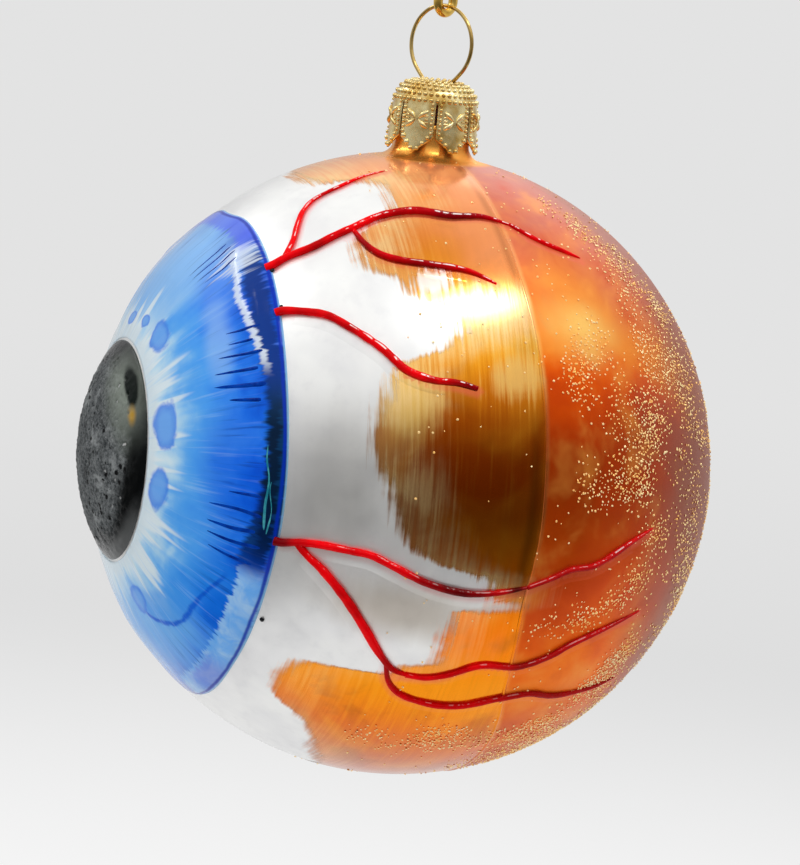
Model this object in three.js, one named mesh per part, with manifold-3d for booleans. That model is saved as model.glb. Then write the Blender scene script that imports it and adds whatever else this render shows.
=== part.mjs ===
// A mouth-blown glass ornament in the shape of an eyeball, hung by its crown cap from a chain link.
// Millimetres, +Z up along the neck. The origin is the top of the chain link's eye, where the part hangs.
// The eye looks along -Y. A place on the ball is a polar angle from the gaze and a clock angle about it:
// clock 0 is up, 90 is +X, 180 is down.

import * as THREE from 'three';
import { mergeVertices } from 'three/addons/utils/BufferGeometryUtils.js';
import Module from 'manifold-3d';

const wasm = await Module();
wasm.setup();

// Glass ball
const BALL_R = 40;
const BALL_Z = -64;
const GLASS_WALL = 0.6;
const PUPIL_POLAR = 20.4;
const RIM_POLAR = 50.4;
const PUPIL_DOME_R = 23;
const COLUMNS = 40;
const INNER_COLUMNS = 32;
const INNER_ROW_ANGLE = 10;
const ROW_ANGLE = (RIM_POLAR - PUPIL_POLAR) / 4;

// Glass neck, measured from the ball's centre
const NECK_R = 4.75;
const NECK_TOP = 46.9;
const NECK_ROOT = 36;
const NECK_FILLET = 2.1;
const NECK_COLUMNS = 32;

// Painted layers on the glass
const LAYER_GAP = 0.1;
const AMBER_THICKNESS = 0.12;
const PUPIL_THICKNESS = 0.3;
const PUPIL_EDGE_SHARE = 0.985;
const VEIN_BED_R = BALL_R + 0.3;
const AMBER_NECK_TOP = 41.3;

// Thickness of the iris enamel against the polar angle, from the pupil out to the rolled rim
const IRIS_RELIEF = [[21, 0.15], [27.9, 0.2], [35.4, 0.35], [42.9, 0.52], [48.4, 0.55], [49.9, 0.4],
  [RIM_POLAR, 0.1]];

// Front edge of the amber lacquer: clock angle, polar angle
const AMBER_EDGE = [[0, 63], [8, 63], [15, 74], [26, 79], [32, 68], [39, 66], [46, 73], [55, 80], [61, 77],
  [67, 67], [78, 66], [87, 69], [94, 72], [99, 80], [101, 87], [106, 86], [110, 81], [117, 78], [122, 70],
  [127, 59], [137, 57], [142, 61], [152, 67], [160, 66], [172, 61], [186, 58], [200, 62], [214, 58],
  [228, 64], [236, 74], [247, 78], [258, 70], [270, 66], [282, 68], [293, 76], [304, 79], [316, 70],
  [325, 67], [334, 75], [344, 72], [352, 65]];

// Crown cap of stamped sheet, measured from the ball's centre
const CAP_WALL = 0.3;
const CAP_COLUMNS = 48;
const PETALS = 7;
const SLIT_TURN = -17;
const SLIT_WIDTH = 0.3;
const SLIT_TOP = 46.4;
const PETAL_CORNER = 42.2;
const PETAL_TIP = 40.45;
const HOLE_R = 0.6;
const HOLE_REACH = 2.26;
const CAP_OUTSIDE = [[5.65, PETAL_TIP], [5.5, 43], [5.4, 45.9], [5.15, 47.3], [4.55, 48.4], [3.5, 49.05],
  [0, 49.4]];

// Spring wire of the hanging ring, in the ring's own upright plane
const WIRE_D = 0.5;
const WIRE_SIDES = 7;
const WIRE_STEP = 0.8;
const RING_R = 4.92;
const RING_Z = 53.98;
const RING_TURN = 31;
const RING_OPEN = 47;
const LEG = [[3.3, 34.5], [3.2, 38], [3.08, 42], [2.86, 46.4], [2.42, 48.1], [2.22, 48.85], [2.38, 49.35],
  [2.95, 49.93]];

// Chain link
const LINK_D = 1.2;
const LINK_BEND_R = 1.5;
const LINK_STRAIGHT = 3.65;

// Veins as lists of places on the ball. The side towards +X, then the other side.
const VEIN_TRUNK = 1.0;
const VEIN_BRANCH = 0.8;
const VEIN_TWIG = 0.6;
const VEIN_SIDES = 6;
const VEIN_STEP = 2.4;
const VEINS = {
  vein_upper_right: [
    [VEIN_TRUNK, [[51.3, 33.5], [54, 33], [59, 33], [63, 32], [67, 31], [72, 29.5], [78, 29.5], [84, 31.5],
      [90, 31.5], [95, 33]]],
    [VEIN_BRANCH, [[94.5, 32.8], [98, 35.3], [101, 36.5], [105, 37.3], [108, 37.5]]],
    [VEIN_TWIG, [[53.5, 33.1], [56, 29], [58, 24], [60, 20], [62.5, 17.5], [68.5, 15.5], [73, 13.8],
      [77, 13]]],
    [VEIN_BRANCH, [[66.5, 31.2], [68, 36.5], [70, 39.5], [73, 41.5], [79, 43.5], [84.5, 45], [89, 47.5]]],
  ],
  vein_middle_right: [
    [VEIN_TRUNK, [[51.3, 47], [55.5, 49], [59, 51], [63, 55], [67.5, 59.5], [71.5, 64], [76, 66], [80, 66.5],
      [83.5, 67.5]]],
  ],
  vein_lower_right: [
    [VEIN_TRUNK, [[51.3, 99.5], [54.5, 98.5], [58, 98], [63, 98], [67, 98.2], [71, 99.6], [77, 101.8],
      [84, 103], [90, 102.6], [96, 101.4]]],
    [VEIN_BRANCH, [[95, 101.6], [99.5, 99.9], [103, 98.5], [108, 98], [116, 94.3], [122, 92]]],
    [VEIN_TRUNK, [[54, 98.6], [56.5, 101], [59, 102.8], [64, 107.6], [68.5, 113], [72, 117.5], [75, 120.5],
      [78, 121.4]]],
    [VEIN_BRANCH, [[77.5, 121.3], [81, 121.2], [84.5, 120], [90, 117.4], [97, 117.8], [103, 116], [107, 114],
      [115, 112], [123, 111]]],
    [VEIN_BRANCH, [[73.6, 119.4], [75, 123.5], [77.5, 126], [83.5, 127.5], [89, 127.4], [95.5, 125.6],
      [101.5, 125], [107, 127], [117, 129.4], [123.5, 131]]],
  ],
  vein_upper_left: [
    [VEIN_TRUNK, [[51.3, -31], [56, -32], [62, -35], [69, -34], [76, -31], [84, -33], [92, -37], [100, -39]]],
    [VEIN_TWIG, [[61.5, -34.8], [66, -41], [71, -45], [78, -47], [85, -50]]],
  ],
  vein_middle_left: [
    [VEIN_TRUNK, [[51.3, -62], [56, -63], [62, -60], [68, -64], [75, -70], [82, -71], [90, -76]]],
  ],
  vein_lower_left: [
    [VEIN_TRUNK, [[51.3, -104], [57, -102], [64, -104], [72, -108], [80, -107], [89, -103], [98, -104],
      [108, -100]]],
    [VEIN_BRANCH, [[63.5, -103.8], [69, -112], [74, -119], [82, -123], [91, -121], [101, -124]]],
  ],
};

const radians = THREE.MathUtils.degToRad;

const GOLD = finish(0xd9b25a, 0.28, 1);
const GOLD_WIRE = finish(0xc9a045, 0.25, 1);
const PEARL = finish(0xf1f0ec, 0.35, 0.1);
const AMBER = finish(0xc96a14, 0.3, 0.5);
const IRIS_BLUE = finish(0x2f62d0, 0.18, 0);
const PUPIL_BLACK = finish(0x17181a, 0.4, 0);
const VEIN_RED = finish(0xc4101c, 0.15, 0);

function finish(color, roughness, metalness) {
  return new THREE.MeshStandardMaterial({ color, roughness, metalness });
}

// A closed geometry with its corners shared, as a solid that can be cut and joined.
function solid(geometry) {
  const plain = geometry.clone();
  plain.deleteAttribute('normal');
  plain.deleteAttribute('uv');
  const merged = mergeVertices(plain, 1e-5);
  const corners = merged.index.array;
  const triangles = [];
  for (let i = 0; i < corners.length; i += 3) {
    const [a, b, c] = corners.slice(i, i + 3);
    if (a !== b && b !== c && c !== a) triangles.push(a, b, c);
  }
  return new wasm.Manifold(new wasm.Mesh({
    numProp: 3,
    vertProperties: merged.attributes.position.array,
    triVerts: new Uint32Array(triangles),
  }));
}

function joined(solids) {
  return solids.reduce((whole, next) => whole.add(next));
}

function piece(name, shape, material) {
  const mesh = shape.getMesh();
  const geometry = new THREE.BufferGeometry();
  geometry.setAttribute('position', new THREE.BufferAttribute(mesh.vertProperties, 3));
  geometry.setIndex(new THREE.BufferAttribute(mesh.triVerts, 1));
  geometry.computeVertexNormals();
  const part = new THREE.Mesh(geometry, material);
  part.name = name;
  return part;
}

// Places on the ball

function onBall(radius, polar, clock) {
  const [p, c] = [radians(polar), radians(clock)];
  return new THREE.Vector3(
    radius * Math.sin(p) * Math.sin(c),
    -radius * Math.cos(p),
    radius * Math.sin(p) * Math.cos(c),
  );
}

// A profile point: its distance from the gaze axis and its height along +Y.
function polarPoint(radius, polar) {
  return new THREE.Vector2(radius * Math.sin(radians(polar)), -radius * Math.cos(radians(polar)));
}

function aboutGaze(profile, columns = COLUMNS) {
  return solid(new THREE.LatheGeometry(profile, columns));
}

function aboutNeck(profile, columns = NECK_COLUMNS) {
  const points = profile.map(([radius, height]) => new THREE.Vector2(radius, height));
  return solid(new THREE.LatheGeometry(points, columns).rotateX(Math.PI / 2));
}

// Rows of the ball behind the pupil, each row the same angle apart on every layer.
function rowsBehindPupil(radius, rowAngle) {
  const rows = [];
  for (let polar = PUPIL_POLAR; polar < 180 - rowAngle / 3; polar += rowAngle) {
    rows.push(polarPoint(radius, polar));
  }
  return [...rows, new THREE.Vector2(0, radius)];
}

// The pupil's dome from the gaze axis out to the given share of its edge, raised by an offset.
function domeRows(offset, edgeShare = 1, rows = 4) {
  const edgeR = BALL_R * Math.sin(radians(PUPIL_POLAR));
  const edgeY = -BALL_R * Math.cos(radians(PUPIL_POLAR));
  const centreY = edgeY + Math.sqrt(PUPIL_DOME_R ** 2 - edgeR ** 2);
  const reach = Math.asin(edgeR / PUPIL_DOME_R) * edgeShare;
  const radius = PUPIL_DOME_R + offset;
  return Array.from({ length: rows + 1 }, (_, i) => {
    const angle = (reach * i) / rows;
    return new THREE.Vector2(i ? radius * Math.sin(angle) : 0, centreY - radius * Math.cos(angle));
  });
}

// Outside of the ball and pupil dome, moved out by an offset. A negative one gives the inside.
function ballSolid(offset, columns = COLUMNS, rowAngle = ROW_ANGLE) {
  const dome = domeRows(offset).slice(0, -1);
  return aboutGaze([...dome, ...rowsBehindPupil(BALL_R + offset, rowAngle)], columns);
}

// Neck with the fillet that runs out onto the ball, moved out by an offset.
function neckSolid(offset, top) {
  const fillet = NECK_FILLET - offset;
  const axisR = NECK_R + NECK_FILLET;
  const axisZ = Math.sqrt((BALL_R + NECK_FILLET) ** 2 - axisR ** 2);
  const start = Math.atan2(axisZ, axisR);
  const steps = 4;
  const flare = Array.from({ length: steps + 1 }, (_, i) => {
    const angle = start * (1 - i / steps);
    return [axisR - fillet * Math.cos(angle), axisZ - fillet * Math.sin(angle)];
  });
  const foot = flare[0][0] + offset;
  const footTop = flare[0][1] - offset;
  const root = [[0, NECK_ROOT], [foot, NECK_ROOT], [foot, footTop]];
  return aboutNeck([...root, ...flare, [NECK_R + offset, top], [0, top]]);
}

// Glass

function glassGlobe() {
  const inside = ballSolid(-GLASS_WALL, INNER_COLUMNS, INNER_ROW_ANGLE);
  const boreR = NECK_R - GLASS_WALL;
  const [low, high] = [NECK_ROOT - 3, NECK_TOP + 1];
  const bore = aboutNeck([[0, low], [boreR, low], [boreR, high], [0, high]]);
  return ballSolid(0).add(neckSolid(0, NECK_TOP)).subtract(inside).subtract(bore);
}

// Painted layers

// Everything in front of the lacquer's ragged edge, as a fan from the ball's centre.
function frontOfAmberEdge() {
  const reach = 1.5 * BALL_R;
  const knots = AMBER_EDGE.map(([clock, polar]) => onBall(reach, polar, clock));
  const edge = new THREE.CatmullRomCurve3(knots, true, 'centripetal').getPoints(2 * COLUMNS);
  edge.pop();
  const corners = [new THREE.Vector3(0, 0, 0), new THREE.Vector3(0, -reach, 0), ...edge];
  const index = [];
  edge.forEach((_, i) => {
    const [here, next] = [i + 2, ((i + 1) % edge.length) + 2];
    index.push(0, here, next, 1, next, here);
  });
  const fan = new THREE.BufferGeometry().setFromPoints(corners);
  fan.setIndex(index);
  return solid(fan);
}

function amberCoat() {
  const inner = LAYER_GAP;
  const outer = LAYER_GAP + AMBER_THICKNESS;
  const skin = ballSolid(outer).add(neckSolid(outer, AMBER_NECK_TOP));
  const clearance = ballSolid(inner).add(neckSolid(inner, NECK_TOP));
  return skin.subtract(clearance).subtract(frontOfAmberEdge());
}

function irisCoat() {
  const bottom = BALL_R + LAYER_GAP;
  const relief = IRIS_RELIEF.map(([polar, thickness]) => polarPoint(bottom + thickness, polar));
  const back = IRIS_RELIEF.map(([polar]) => polarPoint(bottom, polar)).reverse();
  return aboutGaze([...relief, ...back, relief[0]]);
}

function pupilCoat() {
  const front = domeRows(LAYER_GAP + PUPIL_THICKNESS, PUPIL_EDGE_SHARE);
  const back = domeRows(LAYER_GAP, PUPIL_EDGE_SHARE).reverse();
  return aboutGaze([...front, ...back]);
}

// Veins

function roundSection(diameter, sides) {
  const corners = Array.from({ length: sides }, (_, i) => {
    const angle = (2 * Math.PI * (i + 0.5)) / sides;
    return new THREE.Vector2(Math.cos(angle), Math.sin(angle)).multiplyScalar(diameter / 2);
  });
  return new THREE.Shape(corners);
}

function tube(path, diameter, sides, stepLength) {
  const steps = Math.ceil(path.getLength() / stepLength);
  return solid(new THREE.ExtrudeGeometry(roundSection(diameter, sides), { steps, extrudePath: path }));
}

// A vein is a half-round bead of enamel: round tubes less the ball that they lie on.
function vein(branches) {
  const tubes = branches.map(([width, places]) => {
    const points = places.map(([polar, clock]) => onBall(VEIN_BED_R, polar, clock));
    return tube(new THREE.CatmullRomCurve3(points, false, 'centripetal'), width, VEIN_SIDES, VEIN_STEP);
  });
  return joined(tubes).subtract(ballSolid(VEIN_BED_R - BALL_R));
}

// Crown cap

function capShell() {
  const inside = CAP_OUTSIDE.map(([radius, height], i) => {
    const [r0, z0] = CAP_OUTSIDE[Math.max(i - 1, 0)];
    const [r1, z1] = CAP_OUTSIDE[Math.min(i + 1, CAP_OUTSIDE.length - 1)];
    const length = Math.hypot(r1 - r0, z1 - z0);
    const inward = [-(z1 - z0) / length, (r1 - r0) / length];
    const onAxis = radius === 0;
    return [onAxis ? 0 : radius + CAP_WALL * inward[0], height + (onAxis ? -CAP_WALL : CAP_WALL * inward[1])];
  });
  inside[0][1] = PETAL_TIP;
  return aboutNeck([...CAP_OUTSIDE, ...inside.reverse(), CAP_OUTSIDE[0]], CAP_COLUMNS);
}

// The gap between two petals: a narrow slit that opens into a notch below the petals' corners.
function petalGap() {
  const half = SLIT_WIDTH / 2;
  const spread = CAP_OUTSIDE[0][0] * Math.sin(Math.PI / PETALS) + 0.1;
  const below = PETAL_TIP - 0.3;
  const outline = new THREE.Shape([
    [-half, SLIT_TOP], [-half, PETAL_CORNER], [-spread, PETAL_TIP], [-spread, below],
    [spread, below], [spread, PETAL_TIP], [half, PETAL_CORNER], [half, SLIT_TOP],
  ].map(([x, y]) => new THREE.Vector2(x, y)));
  const depth = 3;
  return new THREE.ExtrudeGeometry(outline, { depth, bevelEnabled: false })
    .rotateX(Math.PI / 2)
    .rotateZ(Math.PI / 2)
    .translate(CAP_OUTSIDE[0][0] - depth / 2, 0, 0);
}

function crownCap() {
  let cap = capShell();
  for (let i = 0; i < PETALS; i += 1) {
    const turn = radians(SLIT_TURN) + (2 * Math.PI * i) / PETALS;
    cap = cap.subtract(solid(petalGap().rotateZ(turn)));
  }
  for (const side of [-1, 1]) {
    const hole = new THREE.CylinderGeometry(HOLE_R, HOLE_R, 3, 16)
      .rotateX(Math.PI / 2)
      .translate(side * HOLE_REACH, 0, CAP_OUTSIDE.at(-1)[1])
      .rotateZ(radians(RING_TURN));
    cap = cap.subtract(solid(hole));
  }
  return cap;
}

// Ring and link

// One spring wire: up from the left leg, round the ring and down the right leg.
function hangerWire() {
  const arcSteps = 20;
  const arc = Array.from({ length: arcSteps + 1 }, (_, i) => {
    const angle = radians(RING_OPEN + ((360 - 2 * RING_OPEN) * i) / arcSteps);
    return new THREE.Vector3(-RING_R * Math.sin(angle), 0, RING_Z - RING_R * Math.cos(angle));
  });
  const leg = (side) => LEG.map(([reach, height]) => new THREE.Vector3(side * reach, 0, height));
  const path = new THREE.CatmullRomCurve3([...leg(-1), ...arc, ...leg(1).reverse()], false, 'centripetal');
  return tube(path, WIRE_D, WIRE_SIDES, WIRE_STEP);
}

// A ring pulled long: its upper half moves up and its lower half down by half the straight length.
function chainLink() {
  const bendSteps = 20;
  const ring = new THREE.TorusGeometry(LINK_BEND_R, LINK_D / 2, 10, bendSteps)
    .rotateZ(Math.PI / bendSteps)
    .rotateY(Math.PI / 2);
  const places = ring.attributes.position;
  for (let i = 0; i < places.count; i += 1) {
    places.setZ(i, places.getZ(i) + (Math.sign(places.getZ(i)) * LINK_STRAIGHT) / 2);
  }
  return solid(ring);
}

const globe = new THREE.Group();
globe.position.z = BALL_Z;
globe.add(
  piece('glass_globe', glassGlobe(), PEARL),
  piece('amber_coat', amberCoat(), AMBER),
  piece('iris_coat', irisCoat(), IRIS_BLUE),
  piece('pupil_coat', pupilCoat(), PUPIL_BLACK),
  piece('crown_cap', crownCap(), GOLD),
);
for (const [name, branches] of Object.entries(VEINS)) globe.add(piece(name, vein(branches), VEIN_RED));

const hanger = new THREE.Group();
hanger.rotation.z = radians(RING_TURN);
const wire = piece('hanger_wire', hangerWire(), GOLD_WIRE);
wire.position.z = BALL_Z;
const link = piece('chain_link', chainLink(), GOLD_WIRE);
link.position.z = -(LINK_STRAIGHT / 2 + LINK_BEND_R - LINK_D / 2);
hanger.add(wire, link);

const ornament = new THREE.Group();
ornament.add(globe, hanger);

export default ornament;
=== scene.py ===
import math

import bpy
import numpy as np
from mathutils import Matrix, Vector, noise


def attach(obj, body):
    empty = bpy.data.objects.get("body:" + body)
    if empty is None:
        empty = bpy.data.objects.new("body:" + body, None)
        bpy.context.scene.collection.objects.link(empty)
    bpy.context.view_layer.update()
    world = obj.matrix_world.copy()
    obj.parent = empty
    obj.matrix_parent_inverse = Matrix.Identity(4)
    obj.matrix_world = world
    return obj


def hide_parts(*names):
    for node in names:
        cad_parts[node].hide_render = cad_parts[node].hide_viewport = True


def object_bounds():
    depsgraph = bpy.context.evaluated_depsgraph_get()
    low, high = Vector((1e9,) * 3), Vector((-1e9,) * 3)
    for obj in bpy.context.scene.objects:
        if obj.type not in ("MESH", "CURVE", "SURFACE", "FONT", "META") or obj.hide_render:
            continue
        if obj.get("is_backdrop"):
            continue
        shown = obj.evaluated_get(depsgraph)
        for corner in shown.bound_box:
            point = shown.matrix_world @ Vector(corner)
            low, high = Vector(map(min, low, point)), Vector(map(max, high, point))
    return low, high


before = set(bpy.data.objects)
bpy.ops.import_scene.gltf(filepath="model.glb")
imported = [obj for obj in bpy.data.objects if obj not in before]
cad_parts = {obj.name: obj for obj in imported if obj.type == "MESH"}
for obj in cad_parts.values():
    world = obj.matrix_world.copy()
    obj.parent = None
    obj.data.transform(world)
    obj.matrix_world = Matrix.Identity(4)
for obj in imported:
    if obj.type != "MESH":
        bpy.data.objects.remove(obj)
cad_box = [list(corner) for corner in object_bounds()]

# Sizes in millimetres and degrees. A place on the ball is a polar angle from the gaze (-Y) and a clock
# angle about it: clock 0 is up, 90 is +X, 180 is down. Heights are measured from the ball's centre.
MM = 0.001
BALL_R = 40.0
BALL_Z = -64.0
GLASS_WALL = 0.6
GLOBE_COLUMNS = 360
NECK_R = 4.75
NECK_TOP = 46.9
NECK_FILLET = 2.1

PUPIL_POLAR = 20.4
PUPIL_DOME_R = 25.0
PUPIL_LIFT = 0.25
COAT_LIFT = 0.045
COAT_SUNK = 0.12
IRIS_START = 20.6
STROKE_HEIGHT = 0.07
RIDGE_WIDTH, RIDGE_HEIGHT = 2.5, 0.075
SEAM_WIDTH, SEAM_HEIGHT = 0.52, 0.17
AMBER_MARGIN = 11
AMBER_TOP = 44.4
NECK_FOOT = 39.3
RIM_POLAR = 50.4
IRIS_RELIEF = [
    (21, 0.16), (27.9, 0.22), (35.4, 0.42), (42.9, 0.56), (47, 0.68), (49, 0.6), (50, 0.38),
    (RIM_POLAR, 0.03),
]
IRIS_SWELL = [(40.0, 20.0, 0.26), (80.0, 24.0, 0.08), (135.0, 26.0, 0.14)]
IRIS_CREST = [
    (0, 46.6), (23, 45.4), (32, 44.6), (41, 44.2), (48, 45.2), (55, 46.4), (61, 47.6), (180, 47.6),
]
RIM_EDGE = [
    (0, 49.9), (10, 50.7), (24, 51.0), (60, 50.9), (94, 51.0), (108, 50.4), (126, 49.7), (140, 49.2),
    (160, 49.5),
]
RIM_EDGE += [(360 - c, p) for c, p in reversed(RIM_EDGE[1:])]

# Clock angle, polar angle
AMBER_EDGE = [
    (0, 63), (8, 63), (15, 71), (26, 75), (32, 68), (39, 66), (46, 73), (50, 75), (54, 81), (60, 78),
    (65, 68), (78, 66), (87, 69), (94, 72), (99, 80), (101, 87), (105.5, 88), (106.5, 82), (117, 81.5),
    (119, 77), (122.5, 73), (124, 64), (127, 59), (137, 57), (142, 62), (149, 68), (160, 72), (172, 75),
    (186, 72), (200, 66), (214, 58), (228, 64), (236, 74), (247, 78), (258, 70), (270, 66), (282, 68),
    (293, 76), (304, 79), (316, 70), (325, 67), (334, 75), (344, 72), (352, 65),
]
SEAM = [
    (0, 92), (22, 92.3), (42, 93.4), (58, 94.9), (70, 95.6), (90, 95.8), (103, 95.1), (121, 96),
    (139, 99), (165, 100), (195, 99), (225, 97), (260, 95.5), (300, 94), (338, 92.3),
]

# Veins: width of the bead, then places (polar, clock) from the iris rim outwards
ROOT_POLAR = 52.0
STEM, TRUNK, BRANCH, THREAD, TWIG = 1.1, 0.92, 0.74, 0.56, 0.46
VEINS = {
    "vein_upper_right": [
        (TRUNK, [(51.3, 33.5), (54, 33), (59, 33), (63, 32), (67, 31), (72, 29.5), (78, 29.5),
            (84, 31.5), (90, 31.5), (95, 33)]),
        (THREAD, [(94.5, 32.8), (98, 35.3), (101, 36.5), (105, 37.3), (108, 37.5)]),
        (TWIG, [(53.5, 33.1), (56, 29), (58, 24), (60, 20), (62.5, 17.5), (68.5, 15.5), (73, 13.8),
            (77, 13)]),
        (BRANCH, [(66.5, 31.2), (68, 36.5), (70, 39.5), (73, 41.5), (79, 43.5), (84.5, 45), (89, 47.5)]),
    ],
    "vein_middle_right": [
        (TRUNK, [(51.3, 47), (55.5, 49), (59, 51), (63, 55), (67.5, 59.5), (71.5, 64), (76, 66),
            (80, 66.5), (83.5, 67.5)]),
    ],
    "vein_lower_right": [
        (TRUNK, [(51.3, 99.5), (54.5, 98.5), (58, 98), (63, 98), (67, 98.2), (71, 99.6), (77, 101.8),
            (84, 103), (90, 102.6), (96, 101.4)]),
        (BRANCH, [(95, 101.6), (99.5, 99.9), (103, 98.5), (108, 98), (116, 94.3), (122, 92)]),
        (STEM, [(54, 98.6), (56.5, 101), (59, 102.8), (64, 107.6), (68.5, 113), (72, 117.5),
            (75, 120.5), (78, 121.4)]),
        (BRANCH, [(77.5, 121.3), (81, 121.2), (84.5, 120), (90, 117.4), (97, 117.8), (103, 116),
            (107, 114), (115, 112), (123, 111)]),
        (BRANCH, [(73.6, 119.4), (75, 123.5), (77.5, 126), (83.5, 127.5), (89, 127.4), (95.5, 125.6),
            (101.5, 125), (107, 127), (117, 129.4), (123.5, 131)]),
    ],
    "vein_upper_left": [
        (TRUNK, [(51.3, -38), (56, -37), (62, -37), (69, -35), (76, -31), (84, -33), (92, -37),
            (100, -39)]),
        (TWIG, [(61.5, -37), (66, -42), (71, -45), (78, -47), (85, -50)]),
    ],
    "vein_middle_left": [
        (TRUNK, [(51.3, -62), (56, -63), (62, -60), (68, -64), (75, -70), (82, -71), (90, -76)]),
    ],
    "vein_lower_left": [
        (TRUNK, [(51.3, -104), (57, -102), (64, -104), (72, -108), (80, -107), (89, -103), (98, -104),
            (108, -100)]),
        (BRANCH, [(63.5, -103.8), (69, -112), (74, -119), (82, -123), (91, -121), (101, -124)]),
    ],
}

# Crown cap
PETALS = 7
SLIT_TURN = -17.0
SLIT_WIDTH = 0.3
SLIT_TOP = 46.4
PETAL_CORNER = 42.2
PETAL_TIP = 40.45
CAP_SHEET = 0.25
CAP_OUTSIDE = [
    (5.65, 40.45), (5.5, 43), (5.4, 45.9), (5.15, 47.3), (4.55, 48.4), (3.5, 49.05), (1.8, 49.35),
    (0, 49.4),
]
HOLE_R = 0.56
HOLE_REACH = 2.26

# Hanger wire and chain link
WIRE_D = 0.5
RING_R = 4.92
RING_Z = 53.98
RING_TURN = 31.0
RING_OPEN = 47.0
LEG = [
    (3.3, 34.5), (3.2, 38), (3.08, 42), (2.86, 46.4), (2.42, 48.1), (2.22, 48.85), (2.38, 49.35),
    (2.95, 49.93),
]
LINK_D = 1.2
LINK_BEND_R = 1.5
LINK_STRAIGHT = 3.65

# Camera at the photograph's angle
CAMERA_AZIMUTH = 69.9
CAMERA_ELEVATION = 8.2
CAMERA_ROLL = 5.8
CAMERA_DISTANCE = 450.0
PICTURE_HEIGHT = 865.0
BALL_RADIUS_PX = 311.0
BALL_OFFSET_PX = (1.2, 30.0)
SENSOR = 36.0
FLOOR_Z = -420.0

CENTRE = np.array([0, 0, BALL_Z])


# Places and curves

def on_ball(polar, clock, radius=BALL_R):
    """Millimetre places for polar and clock angles in degrees, which may be arrays."""
    p, c = np.broadcast_arrays(np.radians(polar), np.radians(clock))
    aside = radius * np.sin(p)
    return np.stack([aside * np.sin(c), -radius * np.cos(p), BALL_Z + aside * np.cos(c)], -1)


def gaze_angles(places):
    """Polar and clock angles in degrees of millimetre places."""
    d = places - CENTRE
    d = d / np.maximum(np.linalg.norm(d, axis=-1, keepdims=True), 1e-9)
    return np.degrees(np.arccos(np.clip(-d[..., 1], -1, 1))), np.degrees(np.arctan2(d[..., 0], d[..., 2]))


def turned(off_axis, height, turn):
    """Millimetre places of a profile turned round the axis, with heights from the ball's centre."""
    return np.stack([off_axis * np.cos(turn), off_axis * np.sin(turn), BALL_Z + height + 0 * turn], -1)


def level(height):
    """Scene height of a millimetre height over the ball's centre."""
    return (BALL_Z + height) * MM


def smooth_route(knots, step):
    """Evenly spaced points on a centripetal curve through the knots."""
    knots = np.asarray(knots, float)
    ends = np.asarray([2 * knots[0] - knots[1], *knots, 2 * knots[-1] - knots[-2]])
    points = []
    for a, b, c, d in zip(ends, ends[1:], ends[2:], ends[3:]):
        gaps = [max(math.sqrt(np.linalg.norm(q - p)), 1e-6) for p, q in ((a, b), (b, c), (c, d))]
        m1 = (b - a) / gaps[0] - (c - a) / (gaps[0] + gaps[1]) + (c - b) / gaps[1]
        m2 = (c - b) / gaps[1] - (d - b) / (gaps[1] + gaps[2]) + (d - c) / gaps[2]
        m1, m2 = m1 * gaps[1], m2 * gaps[1]
        for t in np.linspace(0, 1, 12, endpoint=False):
            near = (2 * t**3 - 3 * t**2 + 1) * b + (t**3 - 2 * t**2 + t) * m1
            points.append(near + (3 * t**2 - 2 * t**3) * c + (t**3 - t**2) * m2)
    points = np.asarray([*points, ends[-2]])
    along = np.concatenate([[0], np.cumsum(np.linalg.norm(np.diff(points, axis=0), axis=1))])
    wanted = np.linspace(0, along[-1], max(int(along[-1] / step), 2) + 1)
    return np.stack([np.interp(wanted, along, column) for column in points.T], -1)


def round_the_clock(knots, clock):
    """Smooth closed curve through (clock, value) knots, read at the given clock angles."""
    before = [(c - 360, v) for c, v in knots[-3:]]
    after = [(c + 360, v) for c, v in knots[:3]]
    c, v = smooth_route(before + list(knots) + after, 0.6).T
    return np.interp(np.mod(clock, 360), c, v)


def iris_lift(polar, clock):
    """Height of the iris enamel over the ball: its relief, the swells of its rim and the brush's waves."""
    polar, clock = np.broadcast_arrays(np.asarray(polar, float), np.asarray(clock, float))
    p, h = np.array(IRIS_RELIEF).T
    lift = np.interp(polar, p, h)
    signed = np.mod(clock + 180, 360) - 180
    side = np.abs(signed)
    crest = np.interp(side, *np.array(IRIS_CREST).T)
    for centre, reach, height in IRIS_SWELL:
        lift = lift + height * np.exp(-((side - centre) / reach) ** 2 - ((polar - crest) / 1.6) ** 2)
    start = np.where(signed < 0, 20, 10)
    flat_end = 1 - np.clip((side - start) / 16, 0, 1) * np.clip((174 - side) / 18, 0, 1)
    lift = lift * (1 - flat_end * np.interp(polar, (34, 43), (0, 0.86)))
    across, up = np.sin(np.radians(clock)), np.cos(np.radians(clock))
    waves = [0.05 * noise.noise(Vector((a * 8, u * 8, t * 0.12)))
             + 0.025 * noise.noise(Vector((a * 32, u * 32, t * 0.1)))
             for a, u, t in zip(across.ravel(), up.ravel(), polar.ravel())]
    fade = np.clip((RIM_POLAR - polar) / 2.5, 0, 1)
    return lift + fade * np.array(waves).reshape(polar.shape)


def srgb(red, green, blue):
    """Scene colour of a paint given in screen values from 0 to 255."""
    values = [v / 255 for v in (red, green, blue)]
    return tuple(v / 12.92 if v <= 0.04045 else ((v + 0.055) / 1.055) ** 2.4 for v in values) + (1.0,)


# Shader recipes

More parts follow.
